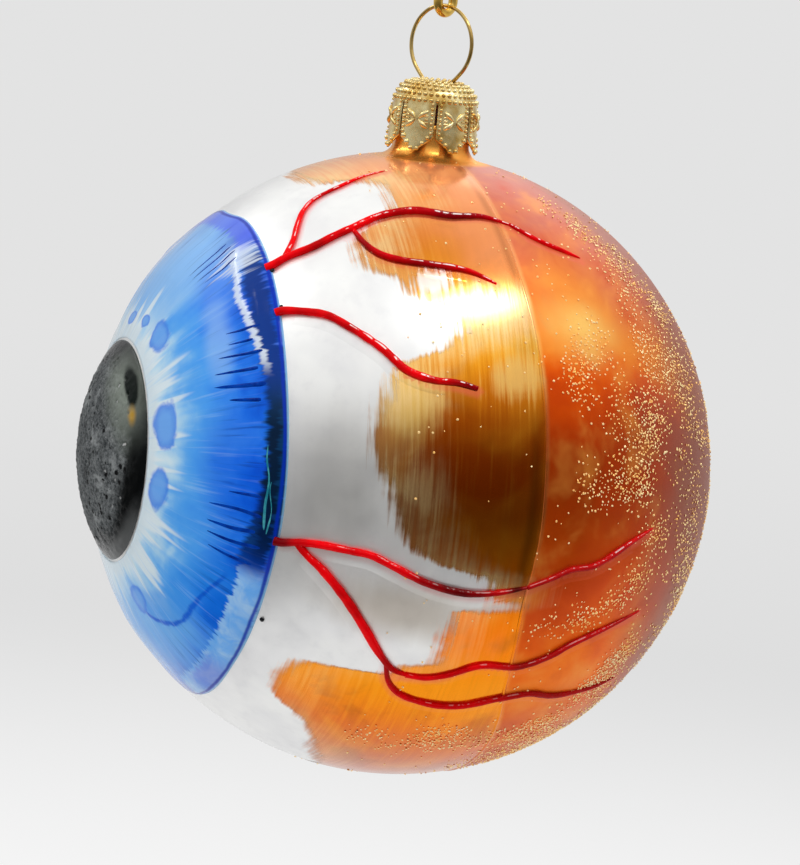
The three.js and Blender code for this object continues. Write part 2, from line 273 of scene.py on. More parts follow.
class Recipe:
    """Adds the nodes of one material or node group and wires them up."""

    def __init__(self, tree):
        self.tree = tree

    def feed(self, socket, value):
        if isinstance(value, bpy.types.NodeSocket):
            self.tree.links.new(value, socket)
        else:
            socket.default_value = value

    def add(self, kind, inputs=None, **settings):
        node = self.tree.nodes.new(kind)
        for name, value in settings.items():
            setattr(node, name, value)
        for name, value in (inputs or {}).items():
            self.feed(node.inputs[name], value)
        return node

    def give(self, *values):
        """Ends a node group with its results, in the order of its outputs."""
        self.add("NodeGroupOutput", dict(enumerate(values)))
        return self.tree

    def math(self, operation, *values):
        return self.add("ShaderNodeMath", dict(enumerate(values)), operation=operation).outputs[0]

    def plus(self, total, *others):
        for other in others:
            total = self.math("ADD", total, other)
        return total

    def minus(self, first, second):
        return self.math("SUBTRACT", first, second)

    def times(self, first, second):
        return self.math("MULTIPLY", first, second)

    def swing(self, value, width):
        """Value between 0 and 1 as a shift to both sides of nothing, width in all."""
        return self.times(self.minus(value, 0.5), width)

    def scaled(self, value, low, high):
        return self.math("DIVIDE", self.minus(value, low), high - low)

    def step(self, value, low, high, start=0.0, end=1.0):
        """Smooth rise from start to end while the value goes from low to high."""
        ends = {"Value": value, "From Min": low, "From Max": high, "To Min": start, "To Max": end}
        return self.add("ShaderNodeMapRange", ends, interpolation_type="SMOOTHSTEP").outputs["Result"]

    def hump(self, value, low, high, soft):
        """One between low and high, falling to nothing over the soft margin."""
        fall = self.step(value, high - soft, high + soft, 1.0, 0.0)
        return self.times(self.step(value, low - soft, low + soft), fall)

    def mix(self, share, under, over):
        return self.add("ShaderNodeMix", {0: share, 6: under, 7: over}, data_type="RGBA").outputs[2]

    def tones(self, value, low, high, dark, light):
        """Two screen colours that run into each other while the value goes from low to high."""
        return self.mix(self.step(value, low, high), srgb(*dark), srgb(*light))

    def coats(self, colour, *layers):
        """Lays paints over a colour in turn. A layer is its mask, its strength and its colour."""
        for mask, strength, paint in layers:
            share = mask if strength == 1 else self.times(mask, strength)
            colour = self.mix(share, colour, srgb(*paint) if isinstance(paint, tuple) else paint)
        return colour

    def ramp(self, value, low, high, stops):
        """Screen colours laid along a value, each given with its place."""
        node = self.add("ShaderNodeValToRGB", {"Fac": self.scaled(value, low, high)})
        node.color_ramp.interpolation = "B_SPLINE"
        elements = node.color_ramp.elements
        while len(elements) < len(stops):
            elements.new(0.5)
        for element, (place, _) in zip(elements, stops):
            element.position = (place - low) / (high - low)
        for element, (_, paint) in zip(elements, stops):
            element.color = srgb(*paint)
        return node.outputs["Color"]

    def curve(self, value, low, high, points):
        """Smooth curve through (place, height) points, both given in their own units."""
        node = self.add("ShaderNodeFloatCurve", {"Value": self.scaled(value, low, high)})
        top = max(h for _, h in points)
        curve = node.mapping.curves[0]
        while len(curve.points) < len(points):
            curve.points.new(0.5, 0.5)
        for point, (place, height) in zip(curve.points, sorted(points)):
            point.location = ((place - low) / (high - low), height / top)
        node.mapping.update()
        return self.times(node.outputs["Value"], top)

    def place(self):
        return self.add("ShaderNodeTexCoord").outputs["Object"]

    def attribute(self, name):
        return self.add("ShaderNodeAttribute", attribute_name=name).outputs["Fac"]

    def parts(self, vector):
        return self.add("ShaderNodeSeparateXYZ", {"Vector": vector}).outputs

    def noise(self, where, scale, detail=2.0, rough=0.5, twist=0.0):
        inputs = {"Vector": where, "Scale": scale, "Detail": detail, "Roughness": rough, "Distortion": twist}
        return self.add("ShaderNodeTexNoise", inputs).outputs["Fac"]

    def group(self, tree, *values):
        """Outputs of a node group that gets the values in the order of its inputs."""
        node = self.add("ShaderNodeGroup", node_tree=tree)
        for socket, value in zip(node.inputs, values):
            self.feed(socket, value)
        return node.outputs

    def either(self, share, first, second):
        """Mix of two shaders."""
        return self.add("ShaderNodeMixShader", {0: share, 1: first.outputs[0], 2: second.outputs[0]})

    def show(self, shader, output="ShaderNodeOutputMaterial"):
        self.add(output, {"Surface": shader.outputs[0]})

    def finish(self, colour, roughness, metallic, relief, depth, strength, gloss=(0.0, 0.03, 0.5), **others):
        """Ends a material. Gloss is the clear coat's weight and roughness and the paint's own shine."""
        bump = self.add("ShaderNodeBump", {"Height": relief, "Distance": depth * MM, "Strength": strength})
        inputs = dict(zip(("Coat Weight", "Coat Roughness", "Specular IOR Level"), gloss))
        inputs.update({"Base Color": colour, "Roughness": roughness, "Metallic": metallic,
                       "Normal": bump.outputs[0]})
        inputs.update((name.replace("_", " "), value) for name, value in others.items())
        self.show(self.add("ShaderNodeBsdfPrincipled", inputs))
        return self.material


class EyeRecipe(Recipe):
    """Recipe that knows its place on the eye and the marks of a brush there."""

    def __init__(self, tree):
        super().__init__(tree)
        self.polar, self.clock, self.across, self.up = self.group(EYE)
        self.half_clock = self.math("ABSOLUTE", self.clock)
        self.where = self.place()

    def streak(self, *sizes):
        """Brush streaks: how fine they are round the axis and outwards, their detail and their shift."""
        return self.group(STREAKS, *sizes)[0]

    def patch(self, *sizes):
        """Mask of a patch: polar and clock angle, its reach in both, softness, raggedness and streak."""
        return self.group(PATCH, *sizes)[0]


def shader_group(name, inputs, outputs, kind=EyeRecipe):
    """Empty node group with its sockets, as a recipe and the group's inputs."""
    tree = bpy.data.node_groups.new(name, "ShaderNodeTree")
    for socket, value in inputs.items():
        tree.interface.new_socket(socket, in_out="INPUT", socket_type="NodeSocketFloat").default_value = value
    for socket in outputs:
        socket_type = "NodeSocketColor" if socket == "Colour" else "NodeSocketFloat"
        tree.interface.new_socket(socket, in_out="OUTPUT", socket_type=socket_type)
    return kind(tree), tree.nodes.new("NodeGroupInput").outputs


def place_on_eye():
    """Node group: polar and clock angles in degrees, and the clock's sine and cosine."""
    r, _ = shader_group("place_on_eye", {}, ["Polar", "Clock", "Across", "Up"], Recipe)
    centred = r.add("ShaderNodeVectorMath", {0: r.place(), 1: (0, 0, BALL_Z * MM)}, operation="SUBTRACT")
    facing = r.add("ShaderNodeVectorMath", {0: centred.outputs[0]}, operation="NORMALIZE")
    x, y, z = r.parts(facing.outputs[0])
    polar = r.math("DEGREES", r.math("ARCCOSINE", r.times(y, -0.99999)))
    clock = r.math("ARCTAN2", x, z)
    return r.give(polar, *(r.math(operation, clock) for operation in ("DEGREES", "SINE", "COSINE")))


def brushed_streaks():
    """Node group: streaks that run round the gaze axis or away from it, as a brush leaves them."""
    sizes = {"Round": 2.0, "Outward": 1.0, "Detail": 3.0, "Shift": 0.0}
    r, given = shader_group("brushed_streaks", sizes, ["Streak"])
    outward = r.plus(r.times(r.polar, given["Outward"]), given["Shift"])
    across, up = (r.times(value, given["Round"]) for value in (r.across, r.up))
    where = r.add("ShaderNodeCombineXYZ", {"X": across, "Y": up, "Z": outward}).outputs[0]
    return r.give(r.noise(where, 1.0, given["Detail"], 0.6))


def paint_patch():
    """Node group: an oval patch of paint at a place on the ball, with a ragged or a soft edge."""
    sizes = {"Polar": 80.0, "Clock": 90.0, "Polar reach": 10.0, "Clock reach": 10.0, "Softness": 0.3,
             "Raggedness": 0.5, "Streak": 0.5}
    r, given = shader_group("paint_patch", sizes, ["Mask"])
    along = r.math("DIVIDE", r.minus(r.polar, given["Polar"]), given["Polar reach"])
    turn = r.math("WRAP", r.minus(r.clock, given["Clock"]), 180.0, -180.0)
    across = r.math("DIVIDE", turn, given["Clock reach"])
    oval = r.math("SQRT", r.plus(r.times(along, along), r.times(across, across)))
    edge = r.plus(r.minus(oval, 1.0), r.swing(given["Streak"], r.times(given["Raggedness"], 4.0)))
    return r.give(r.step(edge, r.times(given["Softness"], -1.0), given["Softness"], 1.0, 0.0))


# Front amber by clock angle. The pale yellow near 57 is a painted highlight. The dark brown from 72 to 100 is
# the lacquer's own tone, darkened further by painted reflection of the dark surroundings.
FRONT_BY_CLOCK = [
    (0, (255, 172, 116)), (16, (255, 168, 108)), (30, (244, 144, 66)), (40, (218, 118, 30)),
    (50, (240, 150, 40)), (57, (255, 206, 84)), (62, (252, 162, 28)), (66, (222, 128, 20)),
    (72, (172, 70, 0)), (88, (146, 46, 0)), (97, (210, 104, 0)), (105, (255, 128, 0)),
    (114, (255, 122, 0)), (122, (255, 158, 16)), (130, (255, 146, 10)), (138, (234, 112, 12)),
    (150, (204, 106, 54)), (180, (188, 114, 94)),
]
BACK_BY_CLOCK = [
    (0, (190, 124, 108)), (26, (206, 104, 82)), (38, (226, 116, 58)), (50, (240, 138, 48)),
    (57, (246, 138, 38)), (62, (240, 98, 0)), (68, (226, 76, 0)), (80, (176, 54, 0)), (90, (196, 72, 0)),
    (99, (226, 84, 0)), (108, (222, 78, 24)), (116, (246, 104, 6)), (124, (255, 132, 6)),
    (138, (228, 100, 24)), (156, (184, 100, 68)), (180, (190, 112, 78)),
]


def both_ways(knots):
    """Knots from 0 to 360 degrees as (clock from -180 to 180, value), closed at the back."""
    turned = sorted(((c + 180) % 360 - 180, value) for c, value in knots)
    behind = (turned[0][1] + turned[-1][1]) / 2
    return [(-180, behind)] + turned + [(180, behind)]


def pearl_paint():
    """Node group: satin pearl over the silvering, with painted grey reflections, a painted rose reflection
    below each vein, and painted shade on the neck.
    """
    r, given = shader_group("pearl_paint", {"From vein": 99.0}, ["Colour", "Silver", "Roughness", "Relief"])
    brush = r.streak(1.3, 0.35, 2.0, 7.0)
    cloud = r.noise(r.where, 90.0, 3.0, 0.55, 0.4)
    fine = r.noise(r.where, 420.0, 3.0, 0.6)
    pearl = r.coats(
        r.tones(cloud, 0.35, 0.7, (250, 250, 248), (238, 238, 238)),
        (r.step(fine, 0.5, 0.75), 0.25, (222, 222, 224)),
        # Painted reflection: two grey patches for the dark surroundings mirrored in the silvered pearl.
        (r.patch(60.0, 84.0, 7.0, 12.0, 0.7, 0.1, brush), 0.5, (196, 194, 188)),
        (r.patch(74.0, 108.0, 12.0, 5.0, 0.7, 0.1, brush), 0.7, (178, 164, 146)),
        # Painted reflection: a rose tint just below each vein, for the vein mirrored in the silvering under
        # the paint.
        (r.step(given["From vein"], 0.3, 1.1, 0.9, 0.0), r.step(cloud, 0.25, 0.75, 0.15, 0.6),
        (250, 140, 140)),
        # Painted shade: dark brown on the neck above the ball, under the cap's petals.
        (r.step(r.parts(r.where)[2], level(40.6), level(41.4)), 1, (96, 34, 6)),
    )
    return r.give(pearl, r.step(cloud, 0.2, 0.8, 0.64, 0.76), r.step(fine, 0.2, 0.8, 0.3, 0.42), cloud)


def amber_cover(r, low, bristle, blotch):
    """How far a point is behind the lacquer's ragged front edge, and how much of it is covered."""
    edge = r.curve(r.clock, -180.0, 180.0, both_ways(AMBER_EDGE))
    ragged = r.times(r.swing(bristle, 8.0), r.minus(1.0, r.times(low, 0.5)))
    past_edge = r.plus(r.minus(r.polar, edge), ragged, r.swing(blotch, 7.0))
    wiped = r.patch(78.0, 46.8, 3.2, 2.6, 0.5, 0.5, bristle)
    bare = r.patch(87.5, 105.3, 6.5, 1.2, 0.5, 0.35, bristle)
    clear = r.math("MAXIMUM", r.times(wiped, 0.8), r.times(bare, 0.85))
    return past_edge, r.times(r.step(past_edge, -1.3, 2.4), r.minus(1.0, clear))


def amber_front(r, past_seam, bristle, blotch, cloud, patchy):
    """Amber before the mould seam, combed by the bristles."""
    brushed = r.step(r.half_clock, 26.0, 52.0, 1.5, 7.5)
    # Painted shade: a dark band just before the mould seam, low on the side.
    seam_painted_shade = r.times(r.hump(past_seam, -2.6, -0.9, 0.8), r.hump(r.half_clock, 74.0, 104.0, 6.0))
    return r.coats(
        r.ramp(r.plus(r.half_clock, r.swing(bristle, brushed)), 0.0, 180.0, FRONT_BY_CLOCK),
        (r.step(bristle, 0.4, 0.75), 0.1, (150, 60, 0)),
        (r.step(bristle, 0.5, 0.25), 0.1, (255, 190, 60)),
        (r.step(cloud, 0.42, 0.75), 0.35, (255, 176, 40)),
        (r.step(blotch, 0.5, 0.26, 0.0, 0.35), r.step(r.half_clock, 14.0, 30.0, 0.1, 1.0), (136, 62, 0)),
        (r.patch(90.8, 66.0, 4.2, 3.4, 0.8, 1.6, patchy), 0.7, (240, 196, 112)),
        # Painted highlight: pale cream on the front amber where the window card's reflection also falls.
        (r.patch(86.0, 52.6, 11.0, 4.6, 0.6, 0.6, bristle), 0.8, (255, 228, 170)),
        (r.patch(90.0, 22.0, 9.0, 22.0, 0.8, 0.5, cloud), 0.8, (252, 160, 104)),
        (r.patch(71.5, 70.0, 4.6, 7.0, 0.7, 0.5, patchy), 0.75, (255, 214, 112)),
        (seam_painted_shade, 0.42, (84, 30, 0)),
    )


def amber_back(r, blotch, cloud):
    """Amber behind the mould seam, in clouds, and with painted shade towards the far side."""
    # Painted shade: how far towards the ball's far side a point lies, reached sooner near the top and the
    # bottom.
    to_far = r.plus(r.polar, r.times(cloud, 20.0), r.step(r.half_clock, 15.0, 50.0, 16.0, 0.0),
                    r.step(r.half_clock, 136.0, 164.0, 0.0, 20.0))
    return r.coats(
        r.ramp(r.plus(r.half_clock, r.swing(cloud, 34.0)), 0.0, 180.0, BACK_BY_CLOCK),
        (r.step(blotch, 0.46, 0.74), 0.5, (255, 170, 70)),
        (r.step(blotch, 0.5, 0.28), 0.5, (206, 62, 0)),
        # Painted shade: dull brown towards the far side.
        (r.step(to_far, 124.0, 146.0), 0.9, (158, 92, 72)),
        # Painted highlight: a soft pale-yellow patch behind the seam, where the key lamp's reflection
        # spreads.
        (r.patch(105.0, 54.5, 6.0, 5.0, 0.9, 0.5, blotch), 0.75, (255, 214, 116)),
    )


def neck_flare(r):
    """Mask of the neck's bright flare, and the height over which the brush marks fade there."""
    x, y, z = r.parts(r.where)
    off_axis = r.math("SQRT", r.plus(r.times(x, x), r.times(y, y)))
    up_high = r.step(z, level(37), level(38.5))
    return r.times(r.step(off_axis, 6.6 * MM, 8.5 * MM, 1.0, 0.0), up_high), up_high


def amber_paint():
    """Node group: amber lacquer, mirror-like before the mould seam and cloudy behind it, ragged in front."""
    outputs = ["Colour", "Silver", "Roughness", "Relief", "Cover"]
    r, given = shader_group("amber_paint", {"From vein": 99.0}, outputs)
    bristle = r.streak(3.4, 1.7, 4.0, 0.0)
    cloud = r.noise(r.where, 75.0, 3.0, 0.55, 0.5)
    blotch = r.noise(r.where, 150.0, 3.0, 0.55, 0.35)
    fine = r.noise(r.where, 420.0, 3.0, 0.6)
    patchy = r.plus(r.times(bristle, 0.5), r.times(blotch, 0.5))
    low = r.step(r.half_clock, 100.0, 112.0)
    past_edge, cover = amber_cover(r, low, bristle, blotch)
    flare, up_high = neck_flare(r)

    past_seam = r.minus(r.polar, r.curve(r.clock, -180.0, 180.0, both_ways(SEAM)))
    behind = r.step(r.plus(past_seam, r.swing(blotch, 2.5)), -0.6, 1.2)
    weak = r.times(r.step(past_edge, 0.5, 14.0, 1.0, 0.0), r.step(patchy, 0.4, 0.6, 0.8, 0.25))
    front = amber_front(r, past_seam, bristle, blotch, cloud, patchy)
    colour = r.coats(
        r.mix(behind, front, amber_back(r, blotch, cloud)),
        # Painted shade: a soft brown line just before the mould seam, fading out down the side.
        (r.hump(past_seam, -1.5, -0.3, 0.7), r.step(r.half_clock, 44.0, 62.0, 0.4, 0.0), (150, 80, 40)),
        # Painted highlight: a pale line just behind the mould seam, stronger high up.
        (r.hump(past_seam, 0.1, 0.8, 0.35), r.step(r.half_clock, 56.0, 74.0, 0.2, 0.08), (255, 205, 130)),
        (weak, r.minus(1.0, r.times(low, 0.75)), (255, 216, 150)),
        # Painted reflection: a rose tint just below each vein, for the vein mirrored in the silvering.
        (r.step(given["From vein"], 0.3, 1.1, 0.55, 0.0), 1, (236, 104, 80)),
        (flare, 1, (255, 178, 80)),
    )
    cloudy = r.step(r.half_clock, 52.0, 72.0, 0.42, 0.74)
    by_neck = r.step(r.half_clock, 18.0, 42.0, 0.5, 0.95)
    silver = r.plus(by_neck, r.times(behind, r.minus(cloudy, by_neck)))
    rough = r.plus(r.step(behind, 0.0, 1.0, 0.18, 0.44), r.swing(fine, 0.12), r.times(flare, 0.1))
    relief = r.times(r.plus(r.times(bristle, 0.6), cloud), r.minus(1.0, r.times(up_high, 0.9)))
    return r.give(colour, r.math("MAXIMUM", silver, r.times(flare, 0.85)), rough, relief,
                  r.math("MAXIMUM", cover, flare))


def new_material(name, kind=Recipe):
    """Empty material, as a recipe."""
    material = bpy.data.materials.new(name)
    material.use_nodes = True
    material.node_tree.nodes.clear()
    recipe = kind(material.node_tree)
    recipe.material = material
    return recipe


def painted_glass(name, paint, coat, shine, see_through=False):
    """Silvered glass with its pearl, or the amber lacquer over it, which is clear where it's unbrushed."""
    r = new_material(name)
    made = r.group(paint, r.attribute("from_vein"))
    clear = {"Alpha": made["Cover"]} if see_through else {}
    return r.finish(made["Colour"], made["Roughness"], made["Silver"], made["Relief"], 0.05, 0.35,
                    (coat, 0.14, shine), **clear)


def ridged_glass():
    """Glass of the moulded ridges: pearl, with the amber lacquer over it behind the brushed edge."""
    r = new_material("pearl_and_amber_on_ridges")
    from_vein = r.attribute("from_vein")
    under, over = (r.group(paint, from_vein) for paint in (PEARL_PAINT, AMBER_PAINT))
    cover = over["Cover"]
    blend = lambda name: r.plus(under[name], r.times(cover, r.minus(over[name], under[name])))
    return r.finish(r.mix(cover, under["Colour"], over["Colour"]), blend("Roughness"), blend("Silver"),
                    under["Relief"], 0.05, 0.35, (0.1, 0.14, 0.3))


WASHES = [
    (38.0, 2.0, 12.0, 24.0, 0.8, (140, 196, 252)), (41.0, 34.0, 4.0, 11.0, 0.6, (74, 136, 250)),
    (38.8, 48.0, 2.6, 12.0, 0.6, (150, 196, 252)), (41.0, 84.0, 6.0, 16.0, 0.5, (0, 90, 236)),
    (42.0, 120.0, 4.5, 12.0, 0.6, (0, 118, 236)), (36.0, 160.0, 10.0, 24.0, 0.7, (124, 190, 252)),
]


def iris_washes(r, rays, cloud, dabs):
    """Blue that deepens outwards, with washes of other blues on both sides."""
    shifted = r.plus(r.polar, r.swing(rays, 16.0), r.swing(cloud, 13.0), r.swing(dabs, 5.0))
    blue = r.ramp(shifted, 20.0, 52.0, IRIS_BY_POLAR)
    for polar, clock, reach, clock_reach, share, paint in WASHES:
        for side in (1, -1):
            wash = r.patch(polar, side * clock, reach, clock_reach, 0.6, 0.3, rays)
            blue = r.coats(blue, (wash, share, paint))
    return blue


def iris_comb(r, blue, comb, hair, dabs, far):
    """Pale wedges that start at the pupil and narrow outwards, and fine combed threads."""
    wedge = r.minus(r.times(r.minus(comb, 0.4), 44.0), r.minus(r.polar, 22.0))
    white = r.times(r.step(wedge, -1.0, 3.4), r.step(r.polar, 25.0, 38.0, 0.95, 0.35))
    dark = r.times(r.step(hair, 0.44, 0.28), r.step(r.polar, 33.0, 46.0, 0.0, 0.55))
    return r.coats(
        blue,
        (white, r.step(r.half_clock, 172.0, 148.0, 0.35, 1.0), (230, 244, 250)),
        (r.step(r.plus(r.polar, r.swing(dabs, 5.0)), 21.4, 24.2, 0.75, 0.0), 1, (220, 236, 244)),
        (r.step(hair, 0.54, 0.74), r.step(r.polar, 24.0, 47.0, 0.4, 0.12), (176, 216, 255)),
        (dark, r.minus(1.0, far), (0, 44, 150)),
    )


def iris_splash(r, blue, dabs):
    """Splash of a second coat with a darker dried edge, low on the side."""
    off = r.minus(r.polar, r.plus(r.curve(r.half_clock, 108.0, 160.0, SPLASH), r.swing(dabs, 2.0)))
    beside = r.hump(r.half_clock, 113.0, 157.0, 3.0)
    return r.coats(
        blue,
        (r.times(r.hump(off, -7.0, 0.2, 1.2), beside), 0.4, (30, 140, 244)),
        (r.times(r.hump(off, -0.55, 0.35, 0.35), beside), 0.85, (0, 92, 222)),
    )


def iris_drops(r, blue, dabs):
    """Drops of darker blue that dried with an edge."""
    for polar, clock, reach, clock_reach in DROPS:
        for size, soft, share, paint in ((1.0, 0.14, 0.85, (30, 116, 238)),
        (0.8, 0.45, 0.75, (122, 186, 253))):
            drop = r.patch(polar, clock, reach * size, clock_reach * size, soft, 0.22, dabs)
            blue = r.coats(blue, (drop, share, paint))
    return blue


def iris_rim(r, blue, hair, dabs, cloud):
    """Painted dark reflection as a combed lens above and teal at the side, a pale band below, then a navy
    line, and painted highlights on the cyan lip and along the crest.
    """
    side = r.half_clock
    rim = r.plus(r.minus(r.polar, r.curve(r.clock, -180.0, 180.0, both_ways(RIM_EDGE))), RIM_POLAR)
    combed = r.plus(rim, r.swing(hair, 4.0))
    on_side = r.minus(side, r.step(r.clock, -1.0, 1.0, 48.0, 0.0))
    lens = r.plus(combed, r.times(r.hump(side, 27.0, 56.0, 9.0), 1.6))
    lower = r.plus(combed, r.times(r.step(side, 78.0, 105.0), 2.6))
    black = r.times(r.step(lower, 46.4, 47.8), r.step(combed, 49.6, 48.6))
    # Painted highlight: a white streak along the rim's crest and a fan of it above, partly painted and partly
    # the light band's real reflection falling there.
    off_crest = r.plus(r.minus(r.polar, r.curve(side, 0.0, 180.0, IRIS_CREST)), r.swing(hair, 2.6))
    crest_painted_highlight = r.times(r.hump(off_crest, -0.35, 0.95, 0.4), r.hump(side, 22.0, 60.0, 3.0))
    fan_painted_highlight = r.times(r.patch(46.2, 25.0, 3.4, 4.6, 0.5, 0.9, hair), 0.85)
    line = r.hump(r.plus(rim, r.times(cloud, 0.8)), 49.9, 50.45, 0.2)
    return r.coats(
        blue,
        # Painted reflection of the dark surroundings: a deep blue lens above and darker teal at the side.
        (r.times(r.hump(lens, 46.8, 50.8, 0.8), r.hump(on_side, 26.0, 103.0, 4.0)), 0.95,
         r.mix(r.hump(side, 66.0, 96.0, 6.0), srgb(0, 50, 132), srgb(0, 50, 84))),
        # Painted reflection: near-black low on the side, inside the dark lens.
        (r.times(black, r.hump(side, 70.0, 107.0, 6.0)), 0.8, (0, 20, 44)),
        # Painted highlight: white on the crest and its fan.
        (r.math("MAXIMUM", crest_painted_highlight, fan_painted_highlight), 0.8, (236, 246, 255)),
        (r.times(r.hump(combed, 44.8, 50.6, 0.4), r.hump(side, 109.0, 166.0, 3.0)), 0.9,
         r.tones(dabs, 0.35, 0.7, (116, 186, 255), (172, 216, 255))),
        (r.hump(combed, 46.4, 50.6, 0.8), r.step(side, 19.0, 26.0, 0.75, 0.0), (84, 110, 246)),
        (r.times(r.hump(combed, 45.5, 50.2, 0.8), r.hump(side, 140.0, 156.0, 5.0)), 0.6, (110, 124, 232)),
        (line, 0.9, (0, 46, 176)),
        # Painted highlight: a pale cyan line on the rim's lip.
        (r.step(rim, 50.05, 50.3), 0.75, (150, 206, 240)),
    )


IRIS_BY_POLAR = [
    (21, (222, 242, 252)), (24, (214, 240, 252)), (27.5, (156, 212, 253)), (30.5, (98, 178, 253)),
    (34, (80, 168, 253)), (38, (70, 156, 252)), (43, (24, 122, 246)), (47, (0, 80, 216)),
    (51, (0, 70, 194)),
]
DROPS = [
    (26.7, 29.6, 2.6, 7.6), (25.2, 10.6, 1.2, 4.2), (24.6, -8.0, 1.3, 5.0), (25.3, 70.0, 3.1, 9.4),
    (24.3, 96.3, 2.6, 9.0), (28.4, 155.0, 2.6, 6.0), (26.0, -70.0, 2.8, 9.0), (25.2, -112.0, 2.4, 8.0),
]
SPLASH = [(108, 43), (117, 41.2), (121, 39.6), (132, 38.2), (140, 36.9), (149, 34.1), (155, 31), (160, 28)]


def iris_blue():
    """Blue enamel combed outward from the pupil, pale inside and deep towards the rolled rim."""
    r = new_material("iris_blue_enamel", EyeRecipe)
    comb = r.streak(11.0, 0.03, 1.5, 0.0)
    rays = r.streak(6.0, 0.05, 2.0, 21.0)
    hair = r.streak(46.0, 0.07, 2.0, 5.0)
    cloud = r.noise(r.where, 120.0, 3.0, 0.55, 0.6)
    dabs = r.noise(r.where, 330.0, 3.0, 0.55, 0.8)
    # Painted light: paler blue towards the iris's far side, where it faces away from the lamps.
    far = r.patch(46.0, -44.0, 8.0, 26.0, 0.4, 0.3, rays)
    blue = r.coats(iris_washes(r, rays, cloud, dabs), (far, 0.85, (150, 190, 250)))
    blue = iris_comb(r, iris_splash(r, blue, dabs), comb, hair, dabs, far)
    blue = iris_rim(r, iris_drops(r, blue, dabs), hair, dabs, cloud)
    relief = r.plus(r.times(comb, 0.6), r.times(hair, 0.4))
    return r.finish(blue, r.step(cloud, 0.3, 0.8, 0.08, 0.18), 0.0, relief, 0.1, 0.45, (0.2, 0.05, 0.05))


PUPIL_SPOTS = [
    (15.6, 42.0, 3.8, 30.0, 0.8, 0.85, (134, 142, 132)), (17.6, 40.0, 1.6, 15.0, 0.25, 1.0, (0, 12, 6)),
    (17.0, 60.0, 0.7, 4.4, 1.0, 0.9, (200, 156, 50)), (17.6, 106.0, 2.2, 34.0, 0.6, 0.95, (0, 2, 3)),
    (19.8, 150.0, 2.2, 34.0, 0.5, 0.8, (96, 98, 98)),
]


def pupil_black():
    """Black enamel: gritty and grey in front, smooth and glossy at the side, worn pale at its edge."""
    r = new_material("pupil_black_enamel", EyeRecipe)
    grit = r.noise(r.where, 2400.0, 5.0, 0.75, 0.4)
    cloud = r.noise(r.where, 210.0, 3.0, 0.6)
    scuff = r.noise(r.where, 300.0, 5.0, 0.72, 0.3)
    pits = r.add("ShaderNodeTexVoronoi", {"Vector": r.where, "Scale": 760.0}).outputs["Distance"]
    front = r.step(r.plus(r.polar, r.swing(cloud, 9.0)), 14.0, 17.5, 1.0, 0.0)
    gritty = r.coats(
        r.tones(grit, 0.36, 0.66, (50, 54, 56), (118, 122, 123)),
        (r.step(scuff, 0.5, 0.68), 0.7, (160, 164, 164)),
        (r.step(scuff, 0.46, 0.3), 0.6, (38, 40, 42)),
    )
    smooth = r.tones(cloud, 0.35, 0.7, (4, 6, 7), (30, 34, 35))
    spots = [(r.patch(*sizes, 0.15, scuff), share, paint) for *sizes, share, paint in PUPIL_SPOTS]
    colour = r.coats(
        r.mix(front, smooth, gritty),
        (r.step(pits, 0.2, 0.31, 1.0, 0.0), r.step(cloud, 0.42, 0.5), (6, 6, 8)),
        *spots,
        (r.step(r.plus(r.polar, r.times(grit, 1.5)), 21.0, 21.8), 0.5, (110, 122, 130)),
    )
    return r.finish(colour, r.step(front, 0.0, 1.0, 0.12, 0.5), 0.0, grit, 0.1, 0.5, (0.05, 0.1, 0.1))


# Direction faced by the painted white highlights on the veins.
PAINTED_HIGHLIGHT_SIDE = (0.766, -0.08, 0.635)
VEIN_SHADES = [
    (83.0, 102.5, 9.0, 5.0, (44, 0, 4)), (51.0, 99.0, 3.0, 4.0, (90, 0, 8)),
    (93.0, 102.0, 1.5, 4.0, (24, 0, 0)),
    (82.0, 70.0, 3.0, 4.0, (70, 0, 4)), (66.0, 38.0, 4.0, 4.0, (110, 0, 6)),
    (86.0, 31.5, 9.0, 3.5, (120, 0, 14)),
    (76.0, 43.0, 7.0, 3.5, (140, 0, 8)),
]


def vein_red():
    """Glossy raised enamel, crimson on the pearl and darker over the amber, with painted white highlight
    dashes.
    """
    r = new_material("vein_red_enamel", EyeRecipe)
    cloud = r.noise(r.where, 160.0, 3.0, 0.6)
    _, y, z = r.parts(r.where)
    over_amber = r.times(r.step(y, -2 * MM, 6 * MM), r.step(z, level(10), level(-5)))
    shades = [(r.patch(*sizes, 0.9, 0.4, cloud), 0.85, paint) for *sizes, paint in VEIN_SHADES]
    # Painted highlight: white dashes where a vein faces the highlight side.
    dashes = r.step(r.noise(r.where, 800.0, 3.0, 0.7), 0.5, 0.55)
    painted_highlight = r.times(r.step(r.attribute("painted_highlight"), 0.945, 0.972), dashes)
    red = r.coats(
        r.tones(cloud, 0.3, 0.62, (186, 0, 4), (255, 0, 12)),
        (over_amber, 0.6, (150, 22, 20)),
        *shades,
        # Painted highlight: white dashes, fewer on the lower veins.
        (painted_highlight, r.step(z, level(-8), level(2), 0.25, 0.95), (255, 240, 236)),
    )
    relief = r.plus(cloud, r.times(r.noise(r.where, 1500.0, 2.0, 0.6), 0.5))
    return r.finish(red, 0.35, 0.0, relief, 0.3, 0.7, (0.12, 0.02, 0.02))


def stroke_paint(name, dark, light, shine=0.2):
    """Brushed enamel of one hue that runs between two tones."""
    r = new_material(name)
    cloud = r.noise(r.place(), 500.0, 3.0, 0.6)
    colour = r.tones(cloud, 0.3, 0.7, dark, light)
    return r.finish(colour, 0.15, 0.0, cloud, 0.04, 0.4, (shine / 2, 0.06, shine))


